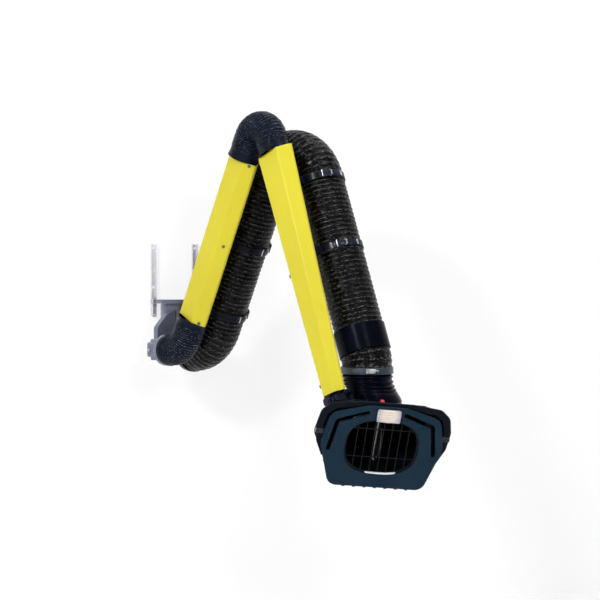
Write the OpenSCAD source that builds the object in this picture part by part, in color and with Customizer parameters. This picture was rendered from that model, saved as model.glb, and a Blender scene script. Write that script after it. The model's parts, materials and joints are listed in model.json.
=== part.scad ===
// Wall-mounted fume extraction arm with an outside hose, two covered arms and a turning hood.
// X runs along the wall, +Y into the wall, +Z up. The origin is the middle of the wall bolts.

/* [Wall bracket] */
// Sideways distance between the two columns of wall bolts
bolt_span_x = 158; // [148:1:190]
// Height between the two rows of wall bolts
bolt_span_z = 150; // [110:1:190]
// Diameter of a wall bolt hole
bolt_hole_d = 11; // [7:0.5:13]
// Width of a wall rail
rail_w = 22; // [20:1:30]
// Depth of a wall rail, away from the wall
rail_d = 20; // [14:1:26]
// Sheet thickness of the rails and their clips
rail_t = 3; // [2:0.5:4]
// Rail length above the upper bolts
rail_above = 15; // [12:1:40]
// Height of the clip under each flange lug
clip_h = 44; // [30:1:60]
// Drop from the lower bolts to the top of the swivel flange
flange_drop = 47; // [35:1:60]
// Thickness of the swivel flange
flange_t = 15; // [13:1:24]
// Distance from the wall to the swivel axis
standoff = 115; // [110:1:140]
// Diameter of the flange bolts
flange_bolt_d = 10; // [8:1:12]

/* [Swivel elbow] */
// Outer radius of the turning neck
neck_r = 60; // [56:1:62]
// Wall of the cast duct
duct_wall = 6; // [4:0.5:8]
// Outer radius of the cast elbow
duct_r = 64.5; // [63:0.5:68]
// Bend radius of the cast elbow, on its centre line
cast_bend = 85; // [80:1:95]
// Drop from the top of the flange to the outlet's axis
outlet_drop = 182; // [175:1:200]
// Radius of the spigot that the hose slides on
spigot_r = 76; // [72:0.5:77]
// Length of that spigot
spigot_len = 15; // [10:1:15]

/* [Rest pose] */
// Swing of the arm from the wall's own direction
rest_swing = 60; // [20:1:90]
// Rise of the lower arm above the horizontal
lower_rise = 62.8; // [55:0.1:75]
// Fall of the upper arm below the horizontal
upper_fall = 69.2; // [62:0.1:75]
// Forward lean of the hood's turning axis
hood_lean = 9; // [0:0.5:14]
// Turn of the hood out of the arm's plane
hood_yaw = 34; // [0:1:40]

/* [Arms] */
// Distance between the hose's plane and the arm's plane
arm_offset = 156; // [150:1:170]
// Reach from the swivel axis to the shoulder pivot
shoulder_reach = 233.5; // [228:0.5:250]
// Length from the shoulder pivot to the elbow pivot, along the lower arm
lower_len = 868; // [810:0.5:930]
// Depth of the elbow pivot inside the lower arm's axis
elbow_in_lower = 33; // [28:0.5:38]
// Depth of the elbow pivot inside the upper arm's axis
elbow_in_upper = 33; // [29:0.5:37]
// Length from the elbow pivot to the hood's tilt pivot, along the upper arm
upper_len = 962.5; // [914:0.5:1014]
// Depth of the tilt pivot inside the upper arm's axis
tilt_in = 19.5; // [14:0.5:24]
// Outside of the square arm tubes
tube_w = 36; // [34:1:40]
// Wall of the arm tubes
tube_t = 3; // [2:0.5:4]
// Diameter of the shoulder and elbow pins
pin_d = 16; // [12:1:18]
// Radius of the pivot eyes and cheeks
eye_r = 21; // [18:1:22]
// Half width of an eye, between its friction discs
eye_half = 13; // [10:0.5:14]
// Thickness of a friction disc
disc_t = 5; // [4:0.5:6]
// Thickness of a pivot cheek
cheek_t = 6; // [5:0.5:7]

/* [Arm covers] */
// Sheet thickness of the covers
cover_t = 2.5; // [1.5:0.5:3.5]
// Start of the lower cover, from the shoulder pivot
low_cover_from = 132; // [120:0.5:146]
// End of the lower cover, short of the elbow pivot
low_cover_end = 127.5; // [120:0.5:150]
// Half width of the lower cover, across the arm's plane
low_half_w = 34; // [32:0.5:38]
// Half depth of the lower cover, in the arm's plane
low_half_d = 73; // [68:0.5:78]
// Corner cut of the lower cover
low_cut = 35; // [30:0.5:38]
// Start of the upper cover, from the elbow pivot
up_cover_from = 114.5; // [110:0.5:134]
// End of the upper cover, short of the hood's tilt pivot
up_cover_end = 18.5; // [18:0.5:40]
// Width of the upper cover in front of the arm's axis
up_half_w = 36; // [34:0.5:40]
// Width of the upper cover behind the arm's axis
up_back_w = 27; // [25:0.5:30]
// Half depth of the upper cover at the elbow
up_half_d0 = 84; // [78:0.5:90]
// Half depth of the upper cover at the hood
up_half_d1 = 51; // [50:0.5:60]
// Corner cut of the upper cover at the elbow
up_cut0 = 38; // [32:0.5:42]
// Corner cut of the upper cover at the hood
up_cut1 = 25; // [22:0.5:30]
// Rounding of the cover folds
fold_r = 9; // [4:0.5:12]
// Thickness of the bulkheads that carry a cover
bulkhead_t = 14; // [10:1:18]

/* [Hose and boots] */
// Radius of the hose over its ribs
hose_r = 82; // [81:0.5:84]
// Depth of a hose rib
hose_rib = 3; // [2:0.5:4]
// Wall of the hose
hose_wall = 1.5; // [1:0.1:2]
// Distance from one hose rib to the next
rib_pitch = 16; // [12:1:24]
// Bend radius of the hose at the shoulder
base_bend = 150; // [130:1:155]
// Bend radius of the hose at the elbow
top_bend = 147; // [120:1:160]
// Offset of the lower hose, outwards in the arm's plane
hose_out_low = 30; // [24:0.5:34]
// Offset of the upper hose from the elbow pivot
hose_out_up = 47; // [42:0.5:52]
// Radius of the elbow and shoulder boots over their ribs
boot_r = 55; // [52:0.5:57]
// Depth of a boot rib
boot_rib = 3.5; // [2:0.5:5]
// Distance from one boot rib to the next
boot_pitch = 9; // [8:0.5:14]
// Bend radius of the shoulder boot
shoulder_boot_bend = 100; // [90:1:106]
// Bend radius of the elbow boot along its inner crease
elbow_crease = 2.5; // [2:0.5:20]
// Width of a hose strap
strap_w = 22; // [14:1:30]
// Thickness of a strap, clamp or cuff
strap_t = 3; // [2:0.5:4]
// End of the cuff on the upper hose, from the elbow pivot
cuff_end = 819.5; // [804:0.5:830]
// Length of that cuff
cuff_len = 84; // [60:1:100]
// Bend radius of the hose below the cuff
neck_bend = 120; // [110:1:150]

/* [Hood] */
// Forward distance from the tilt pivot to the hood's turning axis
collar_ahead = 24.6; // [18:0.5:30]
// Drop from the tilt pivot to the lower edge of the yoke ring
collar_drop = 13; // [10:0.5:18]
// Outer radius of the yoke ring
yoke_r = 86; // [85:0.5:88]
// Height of the yoke ring
yoke_h = 22; // [20:1:26]
// Diameter of the tilt shaft
tilt_d = 20; // [14:1:22]
// Radius of the hood's turning neck
collar_r = 70; // [66:0.5:72]
// Outer radius of the hood's throat
throat_r = 78; // [76:0.5:80]
// Wall of the hood's parts
hood_wall = 3; // [2:0.5:4]
// Forward distance from the turning axis to the middle of the face
face_ahead = 175; // [168:1:195]
// Drop from the yoke ring to the middle of the face
face_low = 102; // [98:1:112]
// Downward pitch of the face against the turning axis
face_pitch = 14; // [8:0.5:18]
// Thickness of the face plate
face_t = 8; // [6:0.5:12]
// Width of the mouth
mouth_w = 240; // [220:1:250]
// Height of the mouth
mouth_h = 192; // [180:1:200]
// Distance from the face to the damper axle
damper_back = 90; // [88:1:95]
// Diameter of the damper axle
axle_d = 8; // [6:0.5:10]
// Thickness of the damper blade
blade_t = 2.5; // [1.5:0.5:4]
// Distance from the face to the handle bow
bow_back = 35; // [34:1:40]
// Radius of the handle bow
bow_r = 8; // [6:0.5:9]
// Diameter of the grille wires
wire_d = 3.2; // [2.5:0.1:4]
// Upright wires in the grille
wire_count = 7; // [5:2:9]
// Width of the work lamp
lamp_w = 78; // [60:1:84]
// Height of the work lamp
lamp_h = 46; // [40:1:48]
// Depth of the work lamp behind the face
lamp_d = 24; // [22:1:26]

/* [Hidden] */
$fn = 64;
// Running clearance of turning fits, on the radius
run = 0.06;
// Clearance of loose fits
gap = 0.3;
// Overshoot of a cut
cut = 1;
sides = 18;
face_sides = 48;

flange_top = -bolt_span_z / 2 - flange_drop;
flange_low = flange_top - flange_t;
rail_top = bolt_span_z / 2 + rail_above;
rail_low = flange_low - clip_h - rail_t;
bush_r = neck_r + duct_wall;
flange_r = bush_r + 18;
seat_r = bush_r + 6;
retainer_t = 5;
neck_bore = neck_r - duct_wall;
neck_ledge = 8;
neck_top = flange_top - retainer_t - cut;
lug_y = rail_d + 16;
lug_w = rail_w + 4;

outlet_z = flange_top - outlet_drop;
outlet_disc_t = 7;
hose_from = cast_bend + outlet_disc_t;
hose_bore = hose_r - hose_rib - hose_wall;
hub_from = 62;
hub_to = 150;
hub_half_w = 30;
hub_half_h = 27;
boot_ring_back = 66.5;
boot_ring_to = shoulder_reach - boot_ring_back;

cheek_in = eye_half + disc_t;
tube_half = tube_w / 2;
fork_in = tube_half;

low_cover_to = lower_len - low_cover_end;
low_cover_len = low_cover_to - low_cover_from;
elbow_boot_bend = boot_r + elbow_crease;
up_cover_to = upper_len - up_cover_end;
up_cover_len = up_cover_to - up_cover_from;

turn = lower_rise + upper_fall;
bellows_pitch = 11;

function unit(v) = v / norm(v);
function along(a) = [cos(a), sin(a)];
function left_of(a) = [-sin(a), cos(a)];
function last(list) = list[len(list) - 1];
function reversed(list) = [for (i = [len(list) - 1:-1:0]) list[i]];

// Shoulder and elbow pivots, as forward and up in the plane of the arm
shoulder = [shoulder_reach, outlet_z];
elbow = shoulder + lower_len * along(lower_rise) - elbow_in_lower * left_of(lower_rise);
tilt_z = elbow_in_upper - tilt_in;
tilt = elbow + upper_len * along(-upper_fall) + tilt_z * left_of(-upper_fall);

// Where a line beside the lower arm meets a line beside the upper arm, measured along each
function meeting(low, up) =
  let (
    through = [lower_len + up * sin(turn), up * cos(turn) - elbow_in_lower],
    back = (through[1] - low) / sin(turn)
  )
  [through[0] + back * cos(turn), back];

// A run of tube in the plane of the arm: start, first heading, last heading, bend radius, lead
function run_sign(r) = sign(r[2] - r[1]);
function bend_len(r) = abs(r[2] - r[1]) * PI / 180 * r[3];
function pose_at(r, s) =
  let (
    in_bend = max(0, min(1, (s - r[4]) / bend_len(r))),
    heading = r[1] + in_bend * (r[2] - r[1]),
    lead = min(s, r[4]),
    tail = max(0, s - r[4] - bend_len(r)),
    swept = run_sign(r) * r[3] * (left_of(r[1]) - left_of(heading))
  )
  [r[0] + lead * along(r[1]) + swept + tail * along(heading), heading];

// A ring of points square to a heading
function ring_at(pose, radius, count = sides) =
  [for (i = [0:count - 1])
    let (
      turned = 360 * i / count,
      side = radius * cos(turned) * left_of(pose[1])
    )
    [pose[0][0] + side[0], -radius * sin(turned), pose[0][1] + side[1]]];

// Closed skin over rings, the last of which joins the first
module skin(rings) {
  n = len(rings[0]);
  m = len(rings);
  polyhedron(
    points = [for (r = rings) each r],
    faces = [for (j = [0:m - 1]) for (i = [0:n - 1])
      let (
        a = j * n + i,
        b = j * n + (i + 1) % n,
        c = ((j + 1) % m) * n + (i + 1) % n,
        d = ((j + 1) % m) * n + i
      )
      each [[a, c, b], [a, d, c]]]
  );
}

// Ribbed tube with a bore along a run of tube
module ribbed_run(r, length, top, rib, bore, pitch) {
  ribs = max(2, round(length / pitch));
  step = length / ribs;
  outer = [for (i = [0:ribs - 1])
    each [
      ring_at(pose_at(r, i * step), top - rib),
      ring_at(pose_at(r, (i + 0.5) * step), top)
    ]];
  bores = ceil(ribs / 2);
  inner = [for (i = [0:bores]) ring_at(pose_at(r, i * length / bores), bore)];
  skin(concat(outer, [ring_at(pose_at(r, length), top - rib)], reversed(inner)));
}

// Straight ribbed tube with a bore, along Z
module ribbed_straight(length, top, rib, bore, pitch) {
  ribs = max(2, round(length / pitch));
  step = length / ribs;
  outer = [for (i = [0:ribs - 1]) each [[top - rib, i * step], [top, (i + 0.5) * step]]];
  rotate_extrude()
    polygon(concat([[bore, 0]], outer, [[top - rib, length], [bore, length]]));
}

// Closed outline with each corner replaced by an arc of its own radius
function corner_arc(a, b, c, r, n) =
  let (
    u = unit(a - b),
    v = unit(c - b),
    half = acos(u * v) / 2,
    middle = b + unit(u + v) * r / sin(half),
    p = b + u * r / tan(half) - middle,
    q = b + v * r / tan(half) - middle
  )
  [for (i = [0:n]) middle + r * unit((1 - i / n) * p + i / n * q)];
function rounded(pts, radii, n = 4) =
  [for (i = [0:len(pts) - 1])
    each corner_arc(
      pts[(i + len(pts) - 1) % len(pts)], pts[i], pts[(i + 1) % len(pts)], radii[i], n)];
function mirrored(half) = concat(half, [for (p = reversed(half)) [-p[0], p[1]]]);
// Section of a cover: front at -w, back at b, and folds that rise by 45 degrees to half depth d
function hexagon(w, b, d, c) =
  [[-w, d - c], [-w, c - d], [c - w, -d], [b, b + w - c - d], [b, d + c - w - b], [c - w, d]];
function same(r, n) = [for (i = [1:n]) r];
function box_outline(w, h) = [[w / 2, h / 2], [-w / 2, h / 2], [-w / 2, -h / 2], [w / 2, -h / 2]];

// Frames of the moving bodies at rest
module at_swivel() {
  translate([0, -standoff, 0]) rotate([0, 0, -rest_swing]) children();
}
module at_lower() {
  at_swivel() translate([shoulder[0], -arm_offset, shoulder[1]]) rotate([0, -lower_rise, 0]) children();
}
module at_upper() {
  at_swivel() translate([elbow[0], -arm_offset, elbow[1]]) rotate([0, upper_fall, 0]) children();
}
// Origin on the hood's turning axis, at the lower edge of the yoke ring
module at_yoke() {
  at_swivel() translate([tilt[0], 0, tilt[1]]) rotate([0, hood_lean, 0])
    translate([collar_ahead, 0, -collar_drop]) children();
}
module at_hood() {
  at_yoke() rotate([0, 0, -hood_yaw]) children();
}
// X to the viewer's right, Y up the face, Z out of the face
module at_face() {
  at_hood() translate([face_ahead, 0, -face_low]) rotate([0, face_pitch, 0]) rotate([90, 0, 90]) children();
}
module along_x() {
  rotate([90, 0, 90]) children();
}
module along_y(from, to, r, fn = $fn) {
  translate([0, from, 0]) rotate([-90, 0, 0]) cylinder(r = r, h = to - from, $fn = fn);
}
module tube(r_out, r_in, h) {
  difference() {
    cylinder(r = r_out, h = h);
    translate([0, 0, -cut]) cylinder(r = r_in, h = h + 2 * cut);
  }
}

// Wall bracket

module rail(side) {
  color([0.8, 0.8, 0.81])
  translate([side * bolt_span_x / 2, 0, 0])
  difference() {
    translate([-rail_w / 2, -rail_d, rail_low]) cube([rail_w, rail_d, rail_top - rail_low]);
    translate([rail_t - rail_w / 2, -rail_d - cut, rail_low - cut])
      cube([rail_w - 2 * rail_t, rail_d - rail_t + cut, rail_top - rail_low + 2 * cut]);
    for (z = [-1, 1] * bolt_span_z / 2)
      translate([0, 0, z]) along_y(-rail_d, cut, bolt_hole_d / 2);
  }
}

module rail_left() { rail(-1); }
module rail_right() { rail(1); }

module flange_bolt_bores(r) {
  for (side = [-1, 1])
    translate([side * bolt_span_x / 2, -lug_y, rail_low - cut]) cylinder(r = r, h = rail_top - rail_low);
}

module bracket_flange() {
  color([0.55, 0.56, 0.6])
  difference() {
    translate([0, 0, flange_low]) union() {
      translate([0, -standoff, 0]) cylinder(r = flange_r, h = flange_t);
      for (side = [-1, 1])
        translate([side * bolt_span_x / 2 - lug_w / 2, -standoff, 0])
          cube([lug_w, standoff - rail_d - cut, flange_t]);
    }
    translate([0, -standoff, flange_low - cut]) cylinder(r = bush_r, h = flange_t + 2 * cut);
    translate([0, -standoff, neck_top - 2]) cylinder(r = seat_r, h = flange_t);
    flange_bolt_bores(flange_bolt_d / 2 + gap);
  }
}

// Closed clip that hangs from the rail and carries the flange lug
module clip() {
  wide = rail_w - 2 * rail_t - 2 * gap;
  deep = lug_y + flange_bolt_d - rail_t;
  translate([-wide / 2, -rail_t - deep, flange_low - clip_h])
  difference() {
    cube([wide, deep, clip_h]);
    translate([rail_t, -cut, rail_t]) cube([wide - 2 * rail_t, deep + 2 * cut, clip_h - 2 * rail_t]);
  }
}

module bracket_clips() {
  color([0.75, 0.75, 0.77])
  difference() {
    for (side = [-1, 1])
      translate([side * bolt_span_x / 2, 0, 0]) clip();
    flange_bolt_bores(flange_bolt_d / 2 + gap);
  }
}

module bracket_bolts() {
  head_r = flange_bolt_d * 0.9;
  head_h = flange_bolt_d * 0.7;
  clip_low = flange_low - clip_h;
  color([0.7, 0.7, 0.72])
  for (side = [-1, 1])
    translate([side * bolt_span_x / 2, -lug_y, 0]) {
      translate([0, 0, clip_low - head_h])
        cylinder(r = flange_bolt_d / 2, h = flange_top - clip_low + 2.4 * head_h);
      translate([0, 0, clip_low - head_h]) cylinder(r = head_r, h = head_h, $fn = 6);
      translate([0, 0, flange_top]) cylinder(r = head_r, h = head_h, $fn = 6);
    }
}

module swivel_bush() {
  color([0.72, 0.6, 0.35])
  translate([0, -standoff, 0])
  difference() {
    union() {
      translate([0, 0, flange_low]) cylinder(r = bush_r, h = neck_top - flange_low);
      translate([0, 0, neck_top - 2]) cylinder(r = seat_r - gap, h = 2);
    }
    translate([0, 0, flange_low - cut]) cylinder(r = neck_r + run, h = flange_t + 2 * cut);
  }
}

// Swivel

module swivel_retainer() {
  color([0.6, 0.61, 0.64])
  at_swivel() translate([0, 0, neck_top + run]) tube(seat_r - gap, neck_bore, retainer_t);
}

// Elbow of the duct, from the neck round to the outlet
module duct_elbow(r) {
  translate([cast_bend, 0, outlet_z + cast_bend]) rotate([90, 0, 0]) rotate([0, 0, 180])
    rotate_extrude(angle = 90) translate([cast_bend, 0]) circle(r = r);
}

// Curved rib from the neck out to the shoulder housing
module side_rib() {
  high = flange_low - 22;
  low = outlet_z + hub_half_h;
  rib_out = arm_offset - hub_half_w + 8;
  mid = (high + low) / 2;
  translate([cast_bend - 54, 0, 0]) rotate([90, 0, 90])
    linear_extrude(height = 22)
      polygon(rounded(
        [[-neck_r + 6, high], [-neck_r - 28, high - 14], [-rib_out, mid - 6], [-rib_out, low - 8],
         [-neck_r + 6, low - 8]],
        [1, 14, 20, 1, 1]));
}

module swivel_elbow() {
  bore = duct_r - duct_wall;
  step_z = flange_low - 2 * gap;
  color([0.5, 0.51, 0.56])
  at_swivel()
  difference() {
    union() {
      translate([0, 0, step_z - 1]) cylinder(r = neck_r, h = neck_top + run - step_z + 1);
      translate([0, 0, outlet_z + cast_bend]) cylinder(r = duct_r, h = step_z - outlet_z - cast_bend);
      duct_elbow(duct_r);
      translate([cast_bend, 0, outlet_z]) along_x() {
        cylinder(r = hose_r + 2, h = outlet_disc_t);
        cylinder(r = spigot_r, h = outlet_disc_t + spigot_len);
      }
      translate([cast_bend - 18, 0, outlet_z])
        along_y(hub_half_w - arm_offset, -duct_r + 16, hub_half_h - 3);
      side_rib();
    }
    translate([0, 0, outlet_z + cast_bend])
      cylinder(r = bore, h = step_z - neck_ledge - outlet_z - cast_bend);
    translate([0, 0, step_z - neck_ledge - cut]) cylinder(r = neck_bore, h = outlet_drop);
    duct_elbow(bore);
    translate([cast_bend, 0, outlet_z]) along_x()
      cylinder(r1 = bore, r2 = spigot_r - 5, h = outlet_disc_t + spigot_len + 0.01);
  }
}

// Housing that carries the arm, with the pads that its plate and fork seat on
module shoulder_housing() {
  wide = 2 * hub_half_w;
  high = 2 * hub_half_h;
  color([0.47, 0.48, 0.53])
  at_swivel() translate([0, -arm_offset, outlet_z])
  difference() {
    union() {
      translate([hub_from, 0, 0]) along_x() linear_extrude(height = hub_to - hub_from)
        polygon(rounded(box_outline(wide, high), same(7, 4)));
      translate([hub_from + 8, 0, hub_half_h - 6]) along_x() linear_extrude(height = hub_to - hub_from - 24)
        polygon(rounded(box_outline(wide - 16, 36), same(8, 4)));
      translate([hub_from + 14, 0, -hub_half_h]) along_x() linear_extrude(height = hub_to - hub_from - 24)
        polygon(rounded(box_outline(wide - 12, 22), same(4, 4)));
      translate([hub_to - 14, 0, 0]) along_x() cylinder(r = boot_r + 2, h = 14);
    }
    for (x = [-1, 1])
      translate([plate_mid + x * plate_pitch, 0, 0]) along_y(-hub_half_w - cut, 20 - hub_half_w, 3 + run);
  }
}

plate_mid = (hub_from + hub_to) / 2 - 5;
plate_pitch = 18;
plate_t = 6;

module housing_plate() {
  color([0.56, 0.57, 0.61])
  at_swivel() translate([plate_mid, -arm_offset - hub_half_w, outlet_z])
  difference() {
    rotate([90, 0, 0]) linear_extrude(height = plate_t)
      polygon(rounded(box_outline(62, 2 * hub_half_h - 8), same(4, 4)));
    for (x = [-1, 1])
      translate([x * plate_pitch, 0, 0]) along_y(-plate_t - cut, cut, 3 + run);
  }
}

module housing_screws() {
  color([0.35, 0.35, 0.37])
  at_swivel() translate([plate_mid, -arm_offset - hub_half_w, outlet_z])
    for (x = [-1, 1])
      translate([x * plate_pitch, 0, 0]) {
        along_y(-plate_t, 16, 3);
        along_y(-plate_t - 4, -plate_t, 5.5);
      }
}

module boot_ring() {
  color([0.1, 0.11, 0.15])
  at_swivel() translate([hub_to, -arm_offset, outlet_z]) along_x()
    tube(boot_r + 2, boot_r - boot_rib - 3, boot_ring_to - hub_to);
}

// Two cheeks on a round base, with the bore of the shoulder pin
module shoulder_fork() {
  base_t = 8;
  color([0.42, 0.43, 0.46])
  at_swivel() translate([0, -arm_offset, outlet_z])
  difference() {
    union() {
      translate([hub_to, 0, 0]) along_x() cylinder(r = boot_r - boot_rib - 4, h = base_t);
      for (side = [-1, 1])
        translate([0, side * (cheek_in + cheek_t / 2), 0]) {
          translate([shoulder_reach, 0, 0]) along_y(-cheek_t / 2, cheek_t / 2, eye_r);
          translate([hub_to, -cheek_t / 2, -eye_r]) cube([shoulder_reach - hub_to, cheek_t, 2 * eye_r]);
        }
    }
    translate([shoulder_reach, 0, 0]) along_y(-boot_r, boot_r, pin_d / 2 + run);
  }
}

// Pin with a head at one end and a nut at the other
module pivot_pin(half) {
  along_y(-half - 6, half + 6, pin_d / 2);
  along_y(-half - 5.5, -half, pin_d / 2 + 5);
  along_y(half, half + 5.5, pin_d / 2 + 5, 6);
}

// Discs between an eye and its cheeks
module friction_discs() {
  for (side = [-1, 1])
    translate([0, side > 0 ? eye_half : -eye_half - disc_t + run, 0])
      difference() {
        along_y(0, disc_t - run, eye_r - 1);
        along_y(-cut, disc_t + cut, pin_d / 2 + run);
      }
}

module shoulder_pin() {
  color([0.72, 0.72, 0.74]) at_lower() pivot_pin(cheek_in + cheek_t);
}

module outlet_clamp() {
  color([0.13, 0.17, 0.28])
  at_swivel() translate([hose_from, 0, outlet_z]) along_x()
    tube(hose_r + gap + strap_t, hose_r + gap, base_run[4] - 1);
}

// Runs of the hose and the boots

base_corner = -hose_out_low / tan(lower_rise);
base_tangent = base_bend * tan(lower_rise / 2);
base_lead = shoulder_reach + base_corner * cos(lower_rise) - hose_out_low * sin(lower_rise)
  - base_tangent - hose_from;
base_run = [[hose_from, outlet_z], 0, lower_rise, base_bend, base_lead];
hose_low_from = base_corner + base_tangent;

top_corner = meeting(hose_out_low, hose_out_up);
top_tangent = top_bend * tan(turn / 2);
hose_low_to = top_corner[0] - top_tangent;
hose_up_from = top_corner[1] + top_tangent;
top_from = shoulder + hose_low_to * along(lower_rise) + hose_out_low * left_of(lower_rise);
top_run = [top_from, lower_rise, -upper_fall, top_bend, 0];

shoulder_boot_lead = shoulder_reach - boot_ring_to - shoulder_boot_bend * tan(lower_rise / 2);
shoulder_boot_run = [[boot_ring_to, outlet_z], 0, lower_rise, shoulder_boot_bend, shoulder_boot_lead];
shoulder_boot_len = shoulder_boot_lead + bend_len(shoulder_boot_run)
  + low_cover_from - shoulder_boot_bend * tan(lower_rise / 2) - gap;

boot_corner = meeting(0, elbow_in_upper);
boot_tangent = elbow_boot_bend * tan(turn / 2);
elbow_boot_run = [
  shoulder + low_cover_to * along(lower_rise), lower_rise, -upper_fall, elbow_boot_bend,
  boot_corner[0] - boot_tangent - low_cover_to
];
elbow_boot_len = elbow_boot_run[4] + bend_len(elbow_boot_run) + up_cover_from - boot_corner[1] - boot_tangent
  - gap;

neck_from = elbow + cuff_end * along(-upper_fall) + hose_out_up * left_of(-upper_fall);
neck_run = [neck_from, -upper_fall, -90, neck_bend, 0];
neck_tail = strap_w;
neck_len = bend_len(neck_run) + neck_tail;
neck_pose = pose_at(neck_run, neck_len);

module hose_base_bend() {
  color([0.07, 0.07, 0.08]) at_swivel()
    ribbed_run(base_run, base_lead + bend_len(base_run) - gap, hose_r, hose_rib, hose_bore, rib_pitch);
}

module hose_elbow_bend() {
  color([0.07, 0.07, 0.08]) at_swivel()
    ribbed_run(top_run, bend_len(top_run) - gap, hose_r, hose_rib, hose_bore, rib_pitch);
}

module hose_neck() {
  color([0.07, 0.07, 0.08]) at_swivel()
    ribbed_run(neck_run, neck_len, hose_r, hose_rib, hose_bore, rib_pitch);
}

module shoulder_boot() {
  color([0.1, 0.11, 0.17]) at_swivel() translate([0, -arm_offset, 0])
    ribbed_run(shoulder_boot_run, shoulder_boot_len, boot_r, boot_rib, boot_r - boot_rib - 2, boot_pitch);
}

module elbow_boot() {
  color([0.1, 0.11, 0.17]) at_swivel() translate([0, -arm_offset, 0])
    ribbed_run(elbow_boot_run, elbow_boot_len, boot_r, boot_rib, boot_r - boot_rib - 2, boot_pitch);
}

module hose_lower() {
  color([0.07, 0.07, 0.08])
  at_lower() translate([hose_low_from, arm_offset, hose_out_low]) rotate([0, 90, 0])
    ribbed_straight(hose_low_to - hose_low_from, hose_r, hose_rib, hose_bore, rib_pitch);
}

module hose_upper() {
  color([0.07, 0.07, 0.08])
  at_upper() translate([hose_up_from, arm_offset, hose_out_up]) rotate([0, 90, 0])
    ribbed_straight(cuff_end - hose_up_from, hose_r, hose_rib, hose_bore, rib_pitch);
}

// Straps: a band round the hose, a pad against the cover and a buckle
module hose_strap(at, out, cover_y, cover_z) {
  band_r = hose_r + gap + strap_t;
  pad_h = 36;
  translate([at - strap_w / 2, 0, 0])
  difference() {
    union() {
      translate([0, arm_offset, out]) along_x() cylinder(r = band_r, h = strap_w);
      translate([0, cover_y, cover_z]) cube([strap_w, arm_offset - cover_y - hose_r / 2, pad_h]);
      translate([strap_w / 2, arm_offset, out]) rotate([180 + 62, 0, 0])
        translate([-strap_w * 0.7, -13, band_r - 4]) cube([strap_w * 1.4, 26, 9]);
    }
    translate([-strap_w, arm_offset, out]) along_x() cylinder(r = hose_r + gap, h = 3 * strap_w);
  }
}

module lower_straps() {
  color([0.06, 0.06, 0.07]) at_lower()
    for (at = [low_cover_from + 20, low_cover_from + low_cover_len * 0.47])
      hose_strap(at, hose_out_low, low_half_w, 0);
}

module upper_straps() {
  color([0.06, 0.06, 0.07]) at_upper()
    for (at = [hose_up_from + 14, up_cover_from + up_cover_len * 0.42])
      hose_strap(at, hose_out_up, up_back_w, elbow_in_upper - 10);
}

module hose_cuff() {
  color([0.05, 0.05, 0.06])
  at_upper() translate([cuff_end - cuff_len, arm_offset, hose_out_up]) rotate([0, 90, 0])
    tube(hose_r + gap + strap_t, hose_r + gap, cuff_len);
}

module neck_clamp() {
  color([0.3, 0.31, 0.34])
  at_swivel() translate([neck_pose[0][0], 0, neck_pose[0][1] + gap])
    tube(hose_r + gap + strap_t, hose_r + gap, strap_w - 2 * gap);
}

// Lower arm

// Fold line outline of a cover, t inside its outer face
function cover_outline(w, b, d, c, t) =
  rounded(hexagon(w - t, b - t, d - sqrt(2) * t, c - t), same(max(1, fold_r - t), 6));

module low_prism(t, from, length) {
  translate([from, 0, 0]) along_x() linear_extrude(height = length)
    polygon(cover_outline(low_half_w, low_half_w, low_half_d, low_cut, t));
}

low_bulkheads = [
  low_cover_from, low_cover_from + (low_cover_len - bulkhead_t) / 2, low_cover_to - bulkhead_t
];

// Screw on the inner fold face of a cover, half way along its corner cut
module on_fold(x, w, d, c) {
  translate([x, -w + c / 2, -d + c / 2]) rotate([-45, 0, 0]) rotate([180, 0, 0]) children();
}
screw_head_r = 5.5;
module fold_screw() {
  cylinder(r = screw_head_r, h = 3.5);
  translate([0, 0, -12]) cylinder(r = 2.5, h = 13);
}
module fold_bore() {
  translate([0, 0, -12 - gap]) cylinder(r = 2.5 + run, h = 14);
}
module low_screws_at() {
  for (x = low_bulkheads)
    on_fold(x + bulkhead_t / 2, low_half_w, low_half_d, low_cut) children();
}

// Half space on the hose's side of a cover, where its back panel is split off
module hose_side(w) {
  translate([-lower_len, w - 9, -lower_len]) cube(3 * lower_len);
}

module lower_shell() {
  difference() {
    low_prism(0, low_cover_from, low_cover_len);
    low_prism(cover_t, low_cover_from - cut, low_cover_len + 2 * cut);
    low_screws_at() fold_bore();
  }
}

module lower_cover() {
  color([0.93, 0.88, 0.24]) at_lower()
    difference() {
      lower_shell();
      hose_side(low_half_w);
    }
}

module lower_back_panel() {
  color([0.9, 0.84, 0.22]) at_lower()
    intersection() {
      lower_shell();
      hose_side(low_half_w);
    }
}

module lower_cover_screws() {
  color([0.75, 0.75, 0.76]) at_lower() low_screws_at() fold_screw();
}

module tube_bore(clear) {
  translate([0, -tube_half - clear, -tube_half - clear])
    cube([2 * lower_len, tube_w + 2 * clear, tube_w + 2 * clear]);
}

module lower_bulkheads() {
  color([0.2, 0.2, 0.22]) at_lower()
    difference() {
      for (x = low_bulkheads)
        low_prism(cover_t + gap / 2, x, bulkhead_t);
      tube_bore(0);
      translate([fork_from, -fork_in - cheek_t, -tube_half + 2])
        cube([lower_len, 2 * (fork_in + cheek_t), tube_w - 4]);
      low_screws_at() fold_bore();
    }
}

module square_tube(from, to) {
  inner = tube_w - 2 * tube_t;
  difference() {
    translate([from, -tube_half, -tube_half]) cube([to - from, tube_w, tube_w]);
    translate([from - cut, -inner / 2, -inner / 2]) cube([to - from + 2 * cut, inner, inner]);
  }
}

low_tube_from = 42;
low_tube_to = low_cover_to + 22;

module lower_tube() {
  color([0.5, 0.51, 0.53]) at_lower() square_tube(low_tube_from, low_tube_to);
}

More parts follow.
